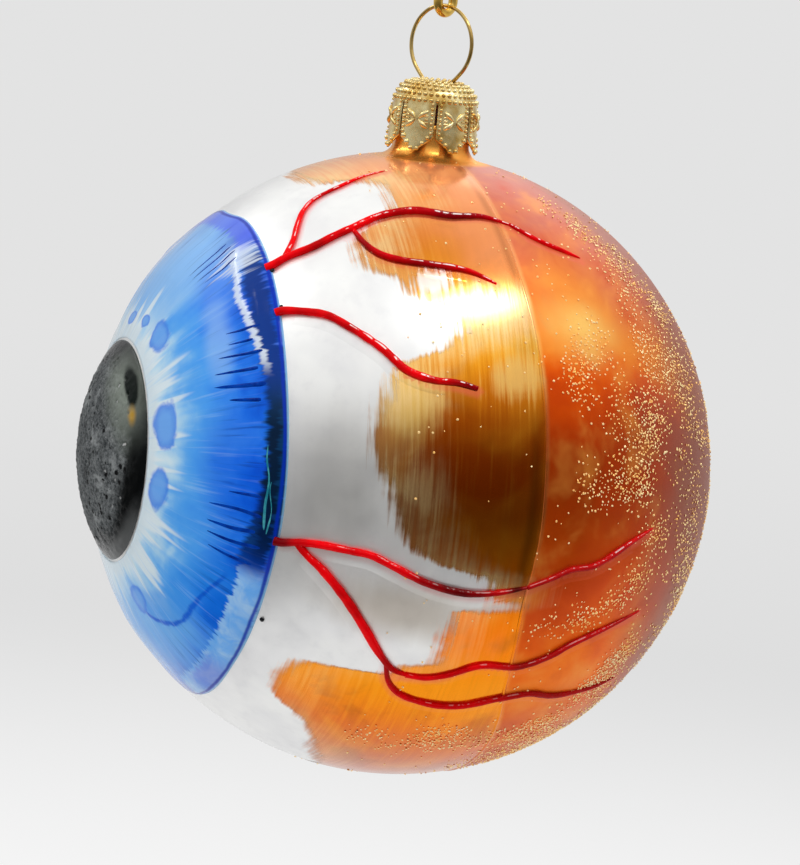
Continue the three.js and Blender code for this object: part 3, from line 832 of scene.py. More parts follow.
def gold(name, dark, light, roughness, grain, metallic=1.0, painted_glow=0.0):
    """Bright gold-coloured metal with faint tarnish and drawing marks, and a painted glow where one is given.
    """
    r = new_material(name)
    where = r.place()
    colour = r.tones(r.noise(where, 380.0, 3.0, 0.6), 0.3, 0.72, dark, light)
    marks = r.noise(where, grain, 2.0, 0.6)
    rough = r.step(marks, 0.3, 0.8, roughness, roughness + 0.16)
    # Painted glow: emission in the metal's own colour.
    painted_glow_inputs = {"Emission_Color": colour, "Emission_Strength": painted_glow} if painted_glow else {}
    return r.finish(colour, rough, metallic, marks, 0.02, 0.35, **painted_glow_inputs)


def linked(name, data):
    """Object of the data, in the scene."""
    made = bpy.data.objects.new(name, data)
    bpy.context.scene.collection.objects.link(made)
    return made


def mesh_piece(name, places, faces, material=None):
    """Smooth mesh of millimetre places, as an object in the scene."""
    mesh = bpy.data.meshes.new(name)
    mesh.from_pydata((np.asarray(places, float) * MM).tolist(), [], faces)
    if material:
        mesh.materials.append(material)
        mesh.shade_smooth()
    return linked(name, mesh)


# Meshes

def solid_mesh(name, places, faces, material):
    """Closed mesh with its faces pointing out."""
    corners = np.asarray(places, float)
    volume = 0.0
    for face in faces:
        for i in range(1, len(face) - 1):
            a, b, c = corners[face[0]], corners[face[i]], corners[face[i + 1]]
            volume += float(np.dot(a, np.cross(b, c)))
    if volume < 0:
        faces = [tuple(reversed(face)) for face in faces]
    return mesh_piece(name, corners, faces, material)


def grid_faces(rows, columns, closed):
    """Faces of a grid of points, which may close round from its last column to its first."""
    corner = lambda i, j: i * columns + j % columns
    return [(corner(i, j), corner(i, j + 1), corner(i + 1, j + 1), corner(i + 1, j))
            for i in range(rows - 1) for j in range(columns if closed else columns - 1)]


def mark_points(mesh, name, values):
    """Stores a value at each point of the mesh."""
    mesh.attributes.new(name, "FLOAT", "POINT").data.foreach_set("value", np.ravel(values).astype(np.float32))


def from_rows(name, rows, material, ends):
    """Closed solid from rows of points that each run once round. Ends is "poles" or "joined"."""
    rows = np.asarray(rows, float)
    count, columns = rows.shape[:2]
    faces = []
    if ends == "poles":
        places = np.concatenate([rows[0, :1], rows[1:-1].reshape(-1, 3), rows[-1, :1]])
        inner = count - 2
        last = len(places) - 1
        ring = lambda i, j: 1 + i * columns + j % columns
        for j in range(columns):
            faces.append((0, ring(0, j), ring(0, j + 1)))
            faces.append((last, ring(inner - 1, j + 1), ring(inner - 1, j)))
        bands = range(inner - 1)
    else:
        places = rows.reshape(-1, 3)
        ring = lambda i, j: (i % count) * columns + j % columns
        bands = range(count)
    for i in bands:
        for j in range(columns):
            faces.append((ring(i, j), ring(i + 1, j), ring(i + 1, j + 1), ring(i, j + 1)))
    return solid_mesh(name, places, faces, material)


def plain_mesh(piece):
    """The piece with its modifiers made into one plain mesh, at the origin."""
    graph = bpy.context.evaluated_depsgraph_get()
    mesh = bpy.data.meshes.new_from_object(piece.evaluated_get(graph))
    name = piece.name
    bpy.data.objects.remove(piece)
    return linked(name, mesh)


def geometry_tree(name, inputs):
    """Empty Geometry Nodes tree with its named inputs, as a recipe and the tree's inputs."""
    tree = bpy.data.node_groups.new(name, "GeometryNodeTree")
    tree.interface.new_socket("Geometry", in_out="INPUT", socket_type="NodeSocketGeometry")
    for socket, value in inputs.items():
        kind = "NodeSocketInt" if isinstance(value, int) else "NodeSocketFloat"
        tree.interface.new_socket(socket, in_out="INPUT", socket_type=kind).default_value = value
    tree.interface.new_socket("Material", in_out="INPUT", socket_type="NodeSocketMaterial")
    tree.interface.new_socket("Geometry", in_out="OUTPUT", socket_type="NodeSocketGeometry")
    return Recipe(tree), tree.nodes.new("NodeGroupInput").outputs


def end_tree(r, given, geometry, smooth=True):
    """Ends a Geometry Nodes tree with a real mesh, smooth or flat, in its material."""
    whole = r.add("GeometryNodeRealizeInstances", {"Geometry": geometry.outputs[0]})
    shaded = r.add("GeometryNodeSetShadeSmooth", {"Geometry": whole.outputs[0], "Shade Smooth": smooth})
    painted = r.add("GeometryNodeSetMaterial", {"Geometry": shaded.outputs[0], "Material": given["Material"]})
    return r.give(painted.outputs[0])


def with_tree(piece, tree, values):
    """The piece after the tree has worked on it, as a plain mesh."""
    modifier = piece.modifiers.new(tree.name, "NODES")
    modifier.node_group = tree
    identifiers = {s.name: s.identifier for s in tree.interface.items_tree if s.in_out == "INPUT"}
    for name, value in values.items():
        modifier[identifiers[name]] = value
    return plain_mesh(piece)


def even_steps(r, given, length):
    """The given splines with a point at every step of one length."""
    ends = {"Curve": given["Geometry"], "Length": given[length]}
    return r.add("GeometryNodeResampleCurve", ends, mode="LENGTH")


def laid_bead_tree():
    """Geometry Nodes: a round bead along each spline, as thick as the spline says, a little uneven."""
    sizes = {"Step": 0.3 * MM, "Sides": 12, "Unevenness": 0.0, "Grain": 900.0}
    r, given = geometry_tree("laid_bead", sizes)
    line = even_steps(r, given, "Step")
    grain = r.add("ShaderNodeTexNoise", {"Scale": given["Grain"], "Detail": 1.0}).outputs[0]
    swell = r.math("MULTIPLY_ADD", r.minus(grain, 0.5), r.times(given["Unevenness"], 2.0), 1.0)
    radius = r.times(r.add("GeometryNodeInputRadius").outputs[0], swell)
    section = r.add("GeometryNodeCurvePrimitiveCircle", {"Resolution": given["Sides"], "Radius": 1.0})
    bead = r.add("GeometryNodeCurveToMesh", {
        "Curve": line.outputs[0], "Profile Curve": section.outputs[0], "Scale": radius, "Fill Caps": True})
    return end_tree(r, given, bead)


def scattered_flakes_tree():
    """Geometry Nodes: small gold flakes lying on a surface, as dense as its "glitter" attribute says."""
    r, given = geometry_tree("scattered_flakes", {"Density": 4e6, "Flake": 0.09 * MM, "Seed": 3})
    amount = r.add("GeometryNodeInputNamedAttribute", {"Name": "glitter"}, data_type="FLOAT").outputs[0]
    density = r.times(amount, given["Density"])
    points = r.add("GeometryNodeDistributePointsOnFaces", {
        "Mesh": given["Geometry"], "Density": density, "Seed": given["Seed"]}, distribute_method="RANDOM")
    flake = r.add("GeometryNodeMeshCone", {
        "Vertices": 5, "Radius Top": 0.0, "Radius Bottom": 1.0, "Depth": 0.7}, fill_type="NGON")
    size = r.add("FunctionNodeRandomValue", {"Seed": given["Seed"], 2: 0.6, 3: 1.35}, data_type="FLOAT")
    lean = {"Seed": 11, 0: (-0.45, -0.45, 0.0), 1: (0.45, 0.45, 6.28)}
    turn = r.add("FunctionNodeRandomValue", lean, data_type="FLOAT_VECTOR")
    facing = r.add("FunctionNodeRotateRotation", {
        "Rotation": points.outputs["Rotation"], "Rotate By": turn.outputs[0]}, rotation_space="LOCAL")
    placed = r.add("GeometryNodeInstanceOnPoints", {
        "Points": points.outputs[0], "Instance": flake.outputs[0], "Rotation": facing.outputs[0],
        "Scale": r.times(size.outputs[1], given["Flake"])})
    return end_tree(r, given, placed, smooth=False)


def pressed_beads_tree():
    """Geometry Nodes: round beads pressed at even steps along each spline."""
    r, given = geometry_tree("pressed_beads", {"Spacing": 0.6 * MM, "Bead": 0.22 * MM})
    line = even_steps(r, given, "Spacing")
    ball = r.add("GeometryNodeMeshUVSphere", {"Segments": 8, "Rings": 5, "Radius": 1.0})
    size = r.add("FunctionNodeRandomValue", {"Seed": 5, 2: 0.88, 3: 1.12}, data_type="FLOAT")
    placed = r.add("GeometryNodeInstanceOnPoints", {
        "Points": line.outputs[0], "Instance": ball.outputs[0],
        "Scale": r.times(size.outputs[1], given["Bead"])})
    return end_tree(r, given, placed)


def splines(name, routes, closed):
    """Curve object of millimetre routes. A route is its points and its radius at each of them."""
    curve = bpy.data.curves.new(name, "CURVE")
    curve.dimensions = "3D"
    for points, radii in routes:
        line = curve.splines.new("POLY")
        line.points.add(len(points) - 1)
        line.use_cyclic_u = closed
        for spot, place, radius in zip(line.points, points, np.broadcast_to(radii, len(points))):
            spot.co = (*(np.asarray(place) * MM), 1.0)
            spot.radius = float(radius) * MM
    return linked(name, curve)


def laid_bead(name, routes, material, step, sides, unevenness=0.0, grain=100.0, closed=False):
    """Round beads along millimetre routes, as one plain mesh."""
    sizes = {"Step": step * MM, "Sides": sides, "Unevenness": unevenness, "Grain": grain,
             "Material": material}
    return with_tree(splines(name, routes, closed), BEAD, sizes)


def tapered(count, radius, first, last, share=0.25):
    """Radii along a stroke that is thinner at its ends. First and last are the end thicknesses."""
    t = np.linspace(0, 1, count)
    start = first + (1 - first) * np.clip(t / share, 0, 1) ** 0.7
    end = last + (1 - last) * np.clip((1 - t) / share, 0, 1) ** 0.7
    return radius * start * end


# Glass globe

def outside_profile(steps):
    """Outside of the ball, its flare and its neck from the bottom up, as (distance off axis, height)."""
    axis_r = NECK_R + NECK_FILLET
    axis_z = math.sqrt((BALL_R + NECK_FILLET) ** 2 - axis_r**2)
    foot = math.degrees(math.atan2(axis_r, axis_z))
    ball = [(BALL_R * math.sin(math.radians(a)), BALL_R * math.cos(math.radians(a)))
            for a in np.linspace(180, foot, steps)]
    start = math.atan2(axis_z, axis_r)
    flare = [(axis_r - NECK_FILLET * math.cos(a), axis_z - NECK_FILLET * math.sin(a))
             for a in np.linspace(start, 0, 12)]
    wall = [(NECK_R, h) for h in np.linspace(axis_z + 0.6, NECK_TOP - 0.5, 8)]
    return np.array(ball + flare[1:] + wall)


def globe_profile():
    """Outside of the ball and neck, over the lip and back down the inside, as (distance off axis, height)."""
    lip_r = 0.38
    lip = [(NECK_R - lip_r + (lip_r + 0.08) * math.cos(a), NECK_TOP - lip_r + lip_r * math.sin(a))
           for a in np.radians(np.linspace(-20, 200, 10))]
    bore = NECK_R - GLASS_WALL
    inner_r = BALL_R - GLASS_WALL
    inside_top = math.degrees(math.asin((bore + 1.2) / inner_r))
    inside = [(bore, h) for h in (NECK_TOP - 1.2, 43.5, 40.6)] + [(bore + 0.4, 39.6)]
    inside += [(inner_r * math.sin(math.radians(a)), inner_r * math.cos(math.radians(a)))
               for a in np.linspace(inside_top, 180, 30)]
    return np.concatenate([outside_profile(190), np.array(lip + inside)])


def blown_globe(material):
    """The glass: a turned ball and neck, pushed out into a dome under the pupil."""
    profile = globe_profile()
    turn = np.linspace(0, 2 * np.pi, GLOBE_COLUMNS, endpoint=False)
    rows = turned(profile[:, :1], profile[:, 1:], turn)
    polar, _ = gaze_angles(rows)
    offset = np.linalg.norm(rows - CENTRE, axis=-1, keepdims=True) - BALL_R
    on_dome = (polar < PUPIL_POLAR)[..., None] & (np.abs(offset) < 1)
    facing = (rows - CENTRE) / np.maximum(offset + BALL_R, 1e-9)
    _, centre_y = dome_centre()
    depth = facing[..., 1:2] * centre_y
    reach = depth + np.sqrt(np.maximum(depth**2 - centre_y**2 + (PUPIL_DOME_R + offset) ** 2, 0))
    rows = np.where(on_dome, facing * reach + CENTRE, rows)
    globe = from_rows("blown_globe", rows, material, "poles")
    mark_vein_distance(globe)
    return globe


def dome_centre():
    """Radius of the pupil's edge, and the centre of its dome along the gaze."""
    edge_r = BALL_R * math.sin(math.radians(PUPIL_POLAR))
    return edge_r, -BALL_R * math.cos(math.radians(PUPIL_POLAR)) + math.sqrt(PUPIL_DOME_R**2 - edge_r**2)


def vein_lines(step, names=VEINS):
    """Every vein as (name, width, first, places on the ball)."""
    lines = []
    for name in names:
        for width, knots in VEINS[name]:
            first = knots[0][0] < ROOT_POLAR
            if first:
                knots = [(RIM_POLAR - 0.2, knots[0][1])] + knots
            polar, clock = np.array(knots, float).T
            lines.append((name, width, first, smooth_route(on_ball(polar, clock), step)))
    return lines


def mark_vein_distance(piece):
    """Stores how far each point of the piece is from the line just below a vein, in millimetres."""
    beds = []
    for _, _, _, places in vein_lines(0.8):
        polar, clock = gaze_angles(places)
        beds.append(on_ball(polar, clock + np.sign(clock) * 0.6 / np.maximum(np.sin(np.radians(polar)), 0.5)))
    co = np.empty(len(piece.data.vertices) * 3)
    piece.data.vertices.foreach_get("co", co)
    co = co.reshape(-1, 3) / MM
    nearest = np.full(len(co), 99.0)
    for bed in np.array_split(np.concatenate(beds), 12):
        nearest = np.minimum(nearest, np.linalg.norm(co[:, None, :] - bed[None], axis=-1).min(1))
    mark_points(piece.data, "from_vein", nearest)


# Amber lacquer

def amber_skin(material):
    """Thin coat over the ball's back and the foot of the neck. It starts well before its brushed edge."""
    profile = outside_profile(120)
    profile = profile[profile[:, 1] < AMBER_TOP]
    profile[0, 0] = 0.0
    turn = np.linspace(0, 2 * np.pi, 260, endpoint=False)
    facing = np.gradient(profile, axis=0)
    outward = np.stack([facing[:, 1], -facing[:, 0]], -1)
    outward /= np.linalg.norm(outward, axis=1, keepdims=True)
    grids = [turned(*(profile + outward * lift).T[..., None], turn) for lift in (COAT_LIFT, -COAT_SUNK)]
    polar, clock = gaze_angles(grids[0])
    border = round_the_clock(AMBER_EDGE, clock) - AMBER_MARGIN
    on_neck = grids[0][..., 2] > BALL_Z + NECK_FOOT
    skin = skin_of_cells("amber_lacquer_skin", grids, (polar > border) | on_neck, material)
    mark_vein_distance(skin)
    return skin


def skin_of_cells(name, grids, keep, material):
    """Closed thin body between two grids of points, of the cells whose corners are all kept."""
    rows, columns = keep.shape
    corner = lambda i, j: i * columns + j % columns
    whole = keep[:-1] & keep[1:]
    whole = whole & np.roll(whole, -1, axis=1)
    cells = {(i, j) for i, j in np.argwhere(whole).tolist()}
    below = rows * columns
    faces = []
    for i, j in cells:
        a, b, c, d = corner(i, j), corner(i, j + 1), corner(i + 1, j + 1), corner(i + 1, j)
        faces.append((a, b, c, d))
        faces.append((d + below, c + below, b + below, a + below))
        around = [((i - 1, j), a, b), ((i, (j + 1) % columns), b, c), ((i + 1, j), c, d),
                  ((i, (j - 1) % columns), d, a)]
        for other, p, q in around:
            at_pole = other == (-1, j)
            if other not in cells and not at_pole:
                faces.append((q, p, p + below, q + below))
    pole = {corner(0, j) + side: side for j in range(columns) for side in (0, below)}
    closed = []
    for face in faces:
        ring = [pole.get(k, k) for k in face]
        ring = [k for n, k in enumerate(ring) if k != ring[n - 1]]
        if len(ring) > 2:
            closed.append(tuple(ring))
    places = np.concatenate([grid.reshape(-1, 3) for grid in grids])
    used = sorted({k for face in closed for k in face})
    index = {k: n for n, k in enumerate(used)}
    return solid_mesh(name, places[used], [tuple(index[k] for k in face) for face in closed], material)


# Iris and pupil

def iris_coat(material):
    """Turned ring of enamel with a rolled rim, a little wavy as a brush leaves it."""
    clock = np.linspace(0, 360, 420, endpoint=False)
    rim = round_the_clock(RIM_EDGE, clock)
    rows = []
    for at in np.concatenate([np.linspace(IRIS_START, 44, 60), np.linspace(44.4, RIM_POLAR, 30)]):
        border = at + (rim - RIM_POLAR) * np.clip((at - 40) / 8, 0, 1)
        rows.append(on_ball(border, clock, BALL_R + iris_lift(at, clock)))
    for at in np.linspace(1, 0, 8):
        rows.append(on_ball(IRIS_START + (rim - IRIS_START) * at, clock, BALL_R - COAT_SUNK))
    return from_rows("iris_enamel_ring", rows, material, "joined")


def pupil_grit(place, gritty):
    """Height of the pupil's enamel at a place: lumps and pits in front, faint waves at the side."""
    at = Vector(place)
    pit = max(noise.noise(at * 1.5 + Vector((7, 1, 3))) - 0.4, 0) * 1.5
    grain = noise.noise(at * 2.9) * 0.11 + noise.noise(at * 5.3) * 0.05 + noise.noise(at * 0.8) * 0.12 - pit
    return gritty * grain + (1 - gritty) * 0.03 * noise.noise(at * 1.2)


def pupil_coat(material):
    """Dome of black enamel, gritty in front and smooth towards its edge."""
    edge_r, centre_y = dome_centre()
    reach = math.degrees(math.asin(edge_r / PUPIL_DOME_R)) * 0.985
    turn = np.radians(np.linspace(0, 360, 330, endpoint=False))

    def dome(angle, radius):
        a = math.radians(angle)
        return np.stack([radius * math.sin(a) * np.sin(turn), centre_y - radius * math.cos(a) + 0 * turn,
                         BALL_Z + radius * math.sin(a) * np.cos(turn)], -1)

    rows = []
    for angle in np.linspace(0, reach, 96):
        gritty = min(max((30.5 - angle) / 5, 0), 1)
        lumps = np.array([pupil_grit(place, gritty) for place in dome(angle, PUPIL_DOME_R)])
        edge = min((reach - angle) / 2.2, 1)
        lift = PUPIL_LIFT * (0.35 + 0.65 * math.sqrt(max(edge, 0)))
        rows.append(dome(angle, PUPIL_DOME_R + lift + lumps * min(edge * 3, 1)))
    under = [dome(angle, PUPIL_DOME_R - COAT_SUNK) for angle in np.linspace(reach, 0, 12)]
    return from_rows("pupil_enamel_dome", rows + under, material, "poles")


# Veins, ridges, seam and brush strokes

def vein_bead(name):
    """One vein with its branches: half-sunk beads of enamel, a drop at the root and thin at the ends."""
    routes = []
    step = 0.35
    for _, width, root, places in vein_lines(step, [name]):
        count = len(places)
        radii = tapered(count, width / 2, 1.0 if root else 0.75, 0.62 if "middle" in name else 0.28, 0.3)
        if root:
            radii = radii * (1 + 0.25 * np.exp(-np.arange(count) * step / 1.2))
        if width == TWIG:
            radii = radii * np.interp(np.linspace(0, 1, count), (0, 0.2, 0.55), (1.9, 1.6, 1.0))
        lift = np.minimum(0.32, radii * 0.6 + 0.03)[:, None]
        routes.append((CENTRE + (places - CENTRE) / BALL_R * (BALL_R + lift), radii))
    bead = laid_bead(name + "_bead", routes, VEIN, 0.3, 18, 0.16, 700.0)
    # Stores how squarely each point faces the side of the painted highlights.
    facing = np.empty(len(bead.data.vertices) * 3)
    bead.data.vertex_normals.foreach_get("vector", facing)
    mark_points(bead.data, "painted_highlight", facing.reshape(-1, 3) @ np.array(PAINTED_HIGHLIGHT_SIDE))
    return bead


def sunk_line(polar_clock, width, height, surface=None, step=0.6, fade=(0.22, 0.22)):
    """Route and radii of a low ridge: a round bead sunk until only its crown shows above the surface.

    It sinks out of sight at both ends, over the two shares of its length given by fade.
    """
    radius = (width**2 / 4 + height**2) / (2 * height)
    polar, clock = gaze_angles(smooth_route(on_ball(*np.array(polar_clock, float).T), step))
    lift = surface(polar, clock) if surface else 0.0
    places = on_ball(polar, clock, BALL_R + lift + height - radius)
    t = np.linspace(0, 1, len(places))
    drop = np.clip(1 - t / fade[0], 0, 1) ** 2 + np.clip(1 - (1 - t) / fade[1], 0, 1) ** 2
    return places, radius - height * drop


def moulded_ridges():
    """Soft ridges blown into the glass just below each vein."""
    routes = []
    for width, knots in (branch for branches in VEINS.values() for branch in branches):
        if width != TWIG:
            below = [(p, c + math.copysign(1.15 / max(math.sin(math.radians(p)), 0.5), c)) for p, c in knots]
            routes.append(sunk_line(below, RIDGE_WIDTH, RIDGE_HEIGHT))
    ridges = laid_bead("moulded_ridges", routes, RIDGED, 0.6, 40)
    mark_vein_distance(ridges)
    return ridges


def mould_seam():
    """Fine raised line where the two halves of the mould met, stopping short of the neck."""
    clock = np.linspace(13, 347, 120)
    waves = np.array([noise.noise(Vector((c * 0.09, 4, 1))) for c in clock])
    polar = round_the_clock(SEAM, clock) + 0.25 * waves
    route = sunk_line(list(zip(polar, clock)), SEAM_WIDTH, SEAM_HEIGHT)
    seam = laid_bead("mould_seam", [route], AMBER, 0.5, 12, 0.04, 500.0)
    mark_vein_distance(seam)
    return seam


# Brush strokes on the iris as width and places, on the side that shows
NAVY_STROKES = [
    (0.2, [(36.5, 16.6), (41.0, 16.9), (45.4, 16.2)]), (0.24, [(37, 19.6), (41.6, 19.8), (45.9, 19.1)]),
    (0.22, [(37.6, 22.6), (42.2, 22.9), (46.4, 22.2)]), (0.2, [(38.6, 25.6), (43.0, 26.0), (46.2, 25.5)]),
    (0.34, [(40.5, 47.4), (44.2, 48.6), (47.8, 49.2)]), (0.3, [(40.6, 50.9), (45.7, 52.2)]),
    (0.36, [(38.4, 53.7), (42.7, 54.9), (47.5, 55.9)]), (0.42, [(37.3, 58.1), (42.5, 59.2), (46.1, 59.7)]),
    (0.56, [(36.9, 61.8), (42.3, 63.2), (47.6, 64)]), (0.44, [(40, 66.3), (46.4, 67.6)]),
    (0.34, [(40.6, 90.2), (47, 90.1)]), (0.42, [(36.6, 94.6), (42.2, 94.2), (47.6, 94.7)]),
    (0.5, [(36.7, 99.6), (42.0, 99.4), (46.7, 98.6)]), (0.46, [(37, 102.8), (42.6, 102.8), (48.2, 101.9)]),
    (0.4, [(37.7, 106.6), (42.4, 106.9), (47, 106.6)]),
]
TEAL_LINES = [
    (0.42, [(47.9, 76), (47.6, 81), (48.2, 86), (47.9, 92), (48.2, 98)]),
    (0.3, [(48.9, 78), (49.1, 83), (48.5, 88), (49.1, 93), (48.6, 99)]),
]


def iris_strokes(name, strokes, material):
    """Strokes of enamel over the iris, fine towards the pupil and full towards the rim.

    All but the topmost are on both sides.
    """
    routes = []
    for width, knots in strokes:
        for side in (1, -1) if knots[0][1] > 40 else (1,):
            placed = [(p, side * c) for p, c in knots]
            routes.append(sunk_line(placed, width, STROKE_HEIGHT, iris_lift, 0.3, (0.85, 0.12)))
    return laid_bead(name, routes, material, 0.3, 20)


# Polar angle, clock angle and radius of each dot
DOTS = [
    (50.9, 119.8, 0.3), (50.9, 34.4, 0.42), (51.2, 45.6, 0.26), (47.6, 108.6, 0.55), (30.5, 148, 0.12),
    (29, 139, 0.12), (50.9, -41, 0.35), (49.5, -112, 0.4),
]


def ink_dots():
    """Small black beads where the brush touched: on the sclera, at a vein's root and on the iris."""
    rings, around, flatness = 7, 14, 0.55
    a = (np.pi * np.arange(1, rings) / rings)[:, None]
    b = 2 * np.pi * np.arange(around) / around
    bead = np.stack([np.sin(a) * np.cos(b), np.sin(a) * np.sin(b), flatness * np.cos(a) + 0 * b], -1)
    bead = np.concatenate([[(0, 0, flatness)], bead.reshape(-1, 3), [(0, 0, -flatness)]])
    places, faces = [], []
    for polar, clock, radius in DOTS:
        centre = on_ball(polar, clock, BALL_R + 0.12)
        turn = Vector((centre - CENTRE) / BALL_R).to_track_quat("Z", "Y")
        first, last = len(places), len(places) + len(bead) - 1
        places += [tuple(Vector(centre) + turn @ Vector(place * radius)) for place in bead]
        at = lambda i, j: last if i == rings else first + (1 + (i - 1) * around + j % around if i else 0)
        for i in range(rings):
            for j in range(around):
                ring = (at(i, j), at(i + 1, j), at(i + 1, j + 1), at(i, j + 1))
                faces.append(tuple(k for n, k in enumerate(ring) if k != ring[n - 1]))
    return solid_mesh("ink_dots", places, faces, INK)


# Cap

def cap_radius(height):
    line = smooth_route(CAP_OUTSIDE, 0.1)
    return float(np.interp(height, line[:, 1], line[:, 0]))


def petal_half_width(height):
    """Half the angle that a petal spans at a height, in degrees."""
    full = 180 / PETALS - math.degrees(SLIT_WIDTH / 2 / cap_radius(height))
    if height >= PETAL_CORNER:
        return full
    t = (height - PETAL_TIP) / (PETAL_CORNER - PETAL_TIP)
    return max(full * t, 0.4)


def on_cap(petal, across, height, lift=0.0):
    """Place on a petal: across runs from -1 to 1, and each petal bulges a little."""
    middle = SLIT_TURN + (petal + 0.5) * 360 / PETALS
    angle = math.radians(middle + across * petal_half_width(height))
    bulge = 0.16 * (1 - across**2) * min(max((SLIT_TOP - height) / 2, 0), 1)
    radius = cap_radius(height) + bulge + lift
    return (radius * math.cos(angle), radius * math.sin(angle), BALL_Z + height)


def crown_sheet():
    """The stamped sheet: a rounded top with two wire holes, slit into seven pointed petals."""
    cells = 10
    columns = PETALS * cells
    ring = lambda i, j: 1 + i * columns + j % columns
    top = [p for p in smooth_route(CAP_OUTSIDE, 0.5)[::-1] if p[1] > SLIT_TOP and p[0] > 0.2]
    places = [(0, 0, BALL_Z + CAP_OUTSIDE[-1][1])]
    for radius, height in top:
        places += turned(radius, height, np.radians(SLIT_TURN + np.arange(columns) * 360 / columns)).tolist()
    faces = [(0, ring(0, j), ring(0, j + 1)) for j in range(columns)]
    for i in range(len(top) - 1):
        faces += [(ring(i, j), ring(i + 1, j), ring(i + 1, j + 1), ring(i, j + 1)) for j in range(columns)]
    for petal in range(PETALS):
        above = [ring(len(top) - 1, petal * cells + j) for j in range(cells + 1)]
        for height in np.linspace(SLIT_TOP, PETAL_TIP, 18):
            row = list(range(len(places), len(places) + cells + 1))
            places += [on_cap(petal, 2 * j / cells - 1, height) for j in range(cells + 1)]
            faces += [(above[j], row[j], row[j + 1], above[j + 1]) for j in range(cells)]
            above = row
    sheet = mesh_piece("crown_cap_sheet", places, faces, GOLD_CAP)
    wall = sheet.modifiers.new("wall", "SOLIDIFY")
    wall.thickness, wall.offset = CAP_SHEET * MM, -1.0
    return with_wire_holes(sheet)


def with_wire_holes(sheet):
    """The sheet cut through where the hanger's two legs pass."""
    cutters = []
    for centre in upright([(-HOLE_REACH, CAP_OUTSIDE[-1][1]), (HOLE_REACH, CAP_OUTSIDE[-1][1])]):
        bpy.ops.mesh.primitive_cylinder_add(
            radius=HOLE_R * MM, depth=3 * MM, vertices=24, location=tuple(centre * MM))
        cutters.append(bpy.context.object)
        hole = sheet.modifiers.new("wire_hole", "BOOLEAN")
        hole.object, hole.solver = cutters[-1], "EXACT"
    sheet = plain_mesh(sheet)
    for cutter in cutters:
        bpy.data.objects.remove(cutter)
    return sheet


def crown_beads(bead, routes):
    """Rows of pressed beads along every petal's edges, or in rings over the top."""
    sizes = {"Spacing": 2.5 * bead * MM, "Bead": bead * MM, "Material": GOLD_CAP}
    return with_tree(splines("crown_cap_beads", routes, False), PRESSED, sizes)


def petal_sides(across, top, foot, count, lift):
    """Routes down both sides of every petal, at a share of its half width."""
    heights = np.linspace(top, foot, count)
    return [(np.array([on_cap(petal, side * across, h, lift) for h in heights]), 1.0)
            for petal in range(PETALS) for side in (-1, 1)]


def top_rings():
    """Rings of beads over the rounded shoulder and the top."""
    turn = np.linspace(0, 2 * np.pi, 60)
    heights = (47.0, 47.75, 48.4, 48.85, 49.15, 49.32)
    return [(turned(cap_radius(height), height, turn), 1.0) for height in heights]


def crown_flowers():
    """A four-leaf flower in the middle of each petal, with small bars beside it."""
    routes = []
    middle, lift = 44.6, 0.03
    for petal in range(PETALS):
        for side in (-1, 1):
            for up in (-1, 1):
                leaf = [on_cap(petal, side * (0.12 + 0.5 * s), middle + up * (0.08 + 1.0 * s**0.8), lift)
                        for s in np.linspace(0, 1, 8)]
                routes.append((np.array(leaf), 0.3 * np.sin(np.linspace(0.35, 2.8, 8)) + 0.04))
            for up in (-0.42, 0.0, 0.42):
                bar = [on_cap(petal, side * at, middle + up, lift) for at in np.linspace(0.44, 0.64, 4)]
                routes.append((np.array(bar), 0.13))
        routes.append((np.array([on_cap(petal, 0, middle + up, lift) for up in (-0.1, 0.1)]), 0.26))
    return laid_bead("crown_cap_flowers", routes, GOLD_CAP, 0.1, 8)


# Wire and link

def upright(points, turn=RING_TURN):
    """Places in an upright plane through the axis, as (reach, height) from the ball's centre."""
    c, s = math.cos(math.radians(turn)), math.sin(math.radians(turn))
    return np.array([(x * c, x * s, BALL_Z + z) for x, z in points])


def hanger_ring():
    """One spring wire: up from the left leg, round the ring and down the right leg."""
    angles = np.radians(np.linspace(RING_OPEN, 360 - RING_OPEN, 60))
    arc = [(-RING_R * math.sin(a), RING_Z - RING_R * math.cos(a)) for a in angles]
    route = [(-x, z) for x, z in LEG] + arc + [(x, z) for x, z in reversed(LEG)]
    points = smooth_route(upright(route), 0.25)
    return laid_bead("hanger_ring_wire", [(points, WIRE_D / 2)], GOLD_WIRE, 0.25, 18)


def chain_eye():
    """Long round-ended link, its plane square to the ring's."""
    middle = -(LINK_STRAIGHT / 2 + LINK_BEND_R - LINK_D / 2)
    points = []
    for a in np.linspace(0, 2 * np.pi, 72, endpoint=False):
        across, up = LINK_BEND_R * math.cos(a), LINK_BEND_R * math.sin(a)
        up += math.copysign(LINK_STRAIGHT / 2, up) if abs(up) > 1e-6 else 0.0
        points.append((across, middle + up - BALL_Z))
    route = (upright(points, RING_TURN + 90), LINK_D / 2)
    return laid_bead("chain_link_wire", [route], GOLD_LINK, 0.25, 24, closed=True)


# Camera, stage and light

def camera_axes():
    """Right, up and back directions of the camera."""
    a, e, roll = (math.radians(v) for v in (CAMERA_AZIMUTH, CAMERA_ELEVATION, CAMERA_ROLL))
    right = Vector((math.cos(a), math.sin(a), 0))
    back = Vector((math.sin(a) * math.cos(e), -math.cos(a) * math.cos(e), math.sin(e)))
    up = back.cross(right)
    return math.cos(roll) * right + math.sin(roll) * up, math.cos(roll) * up - math.sin(roll) * right, back


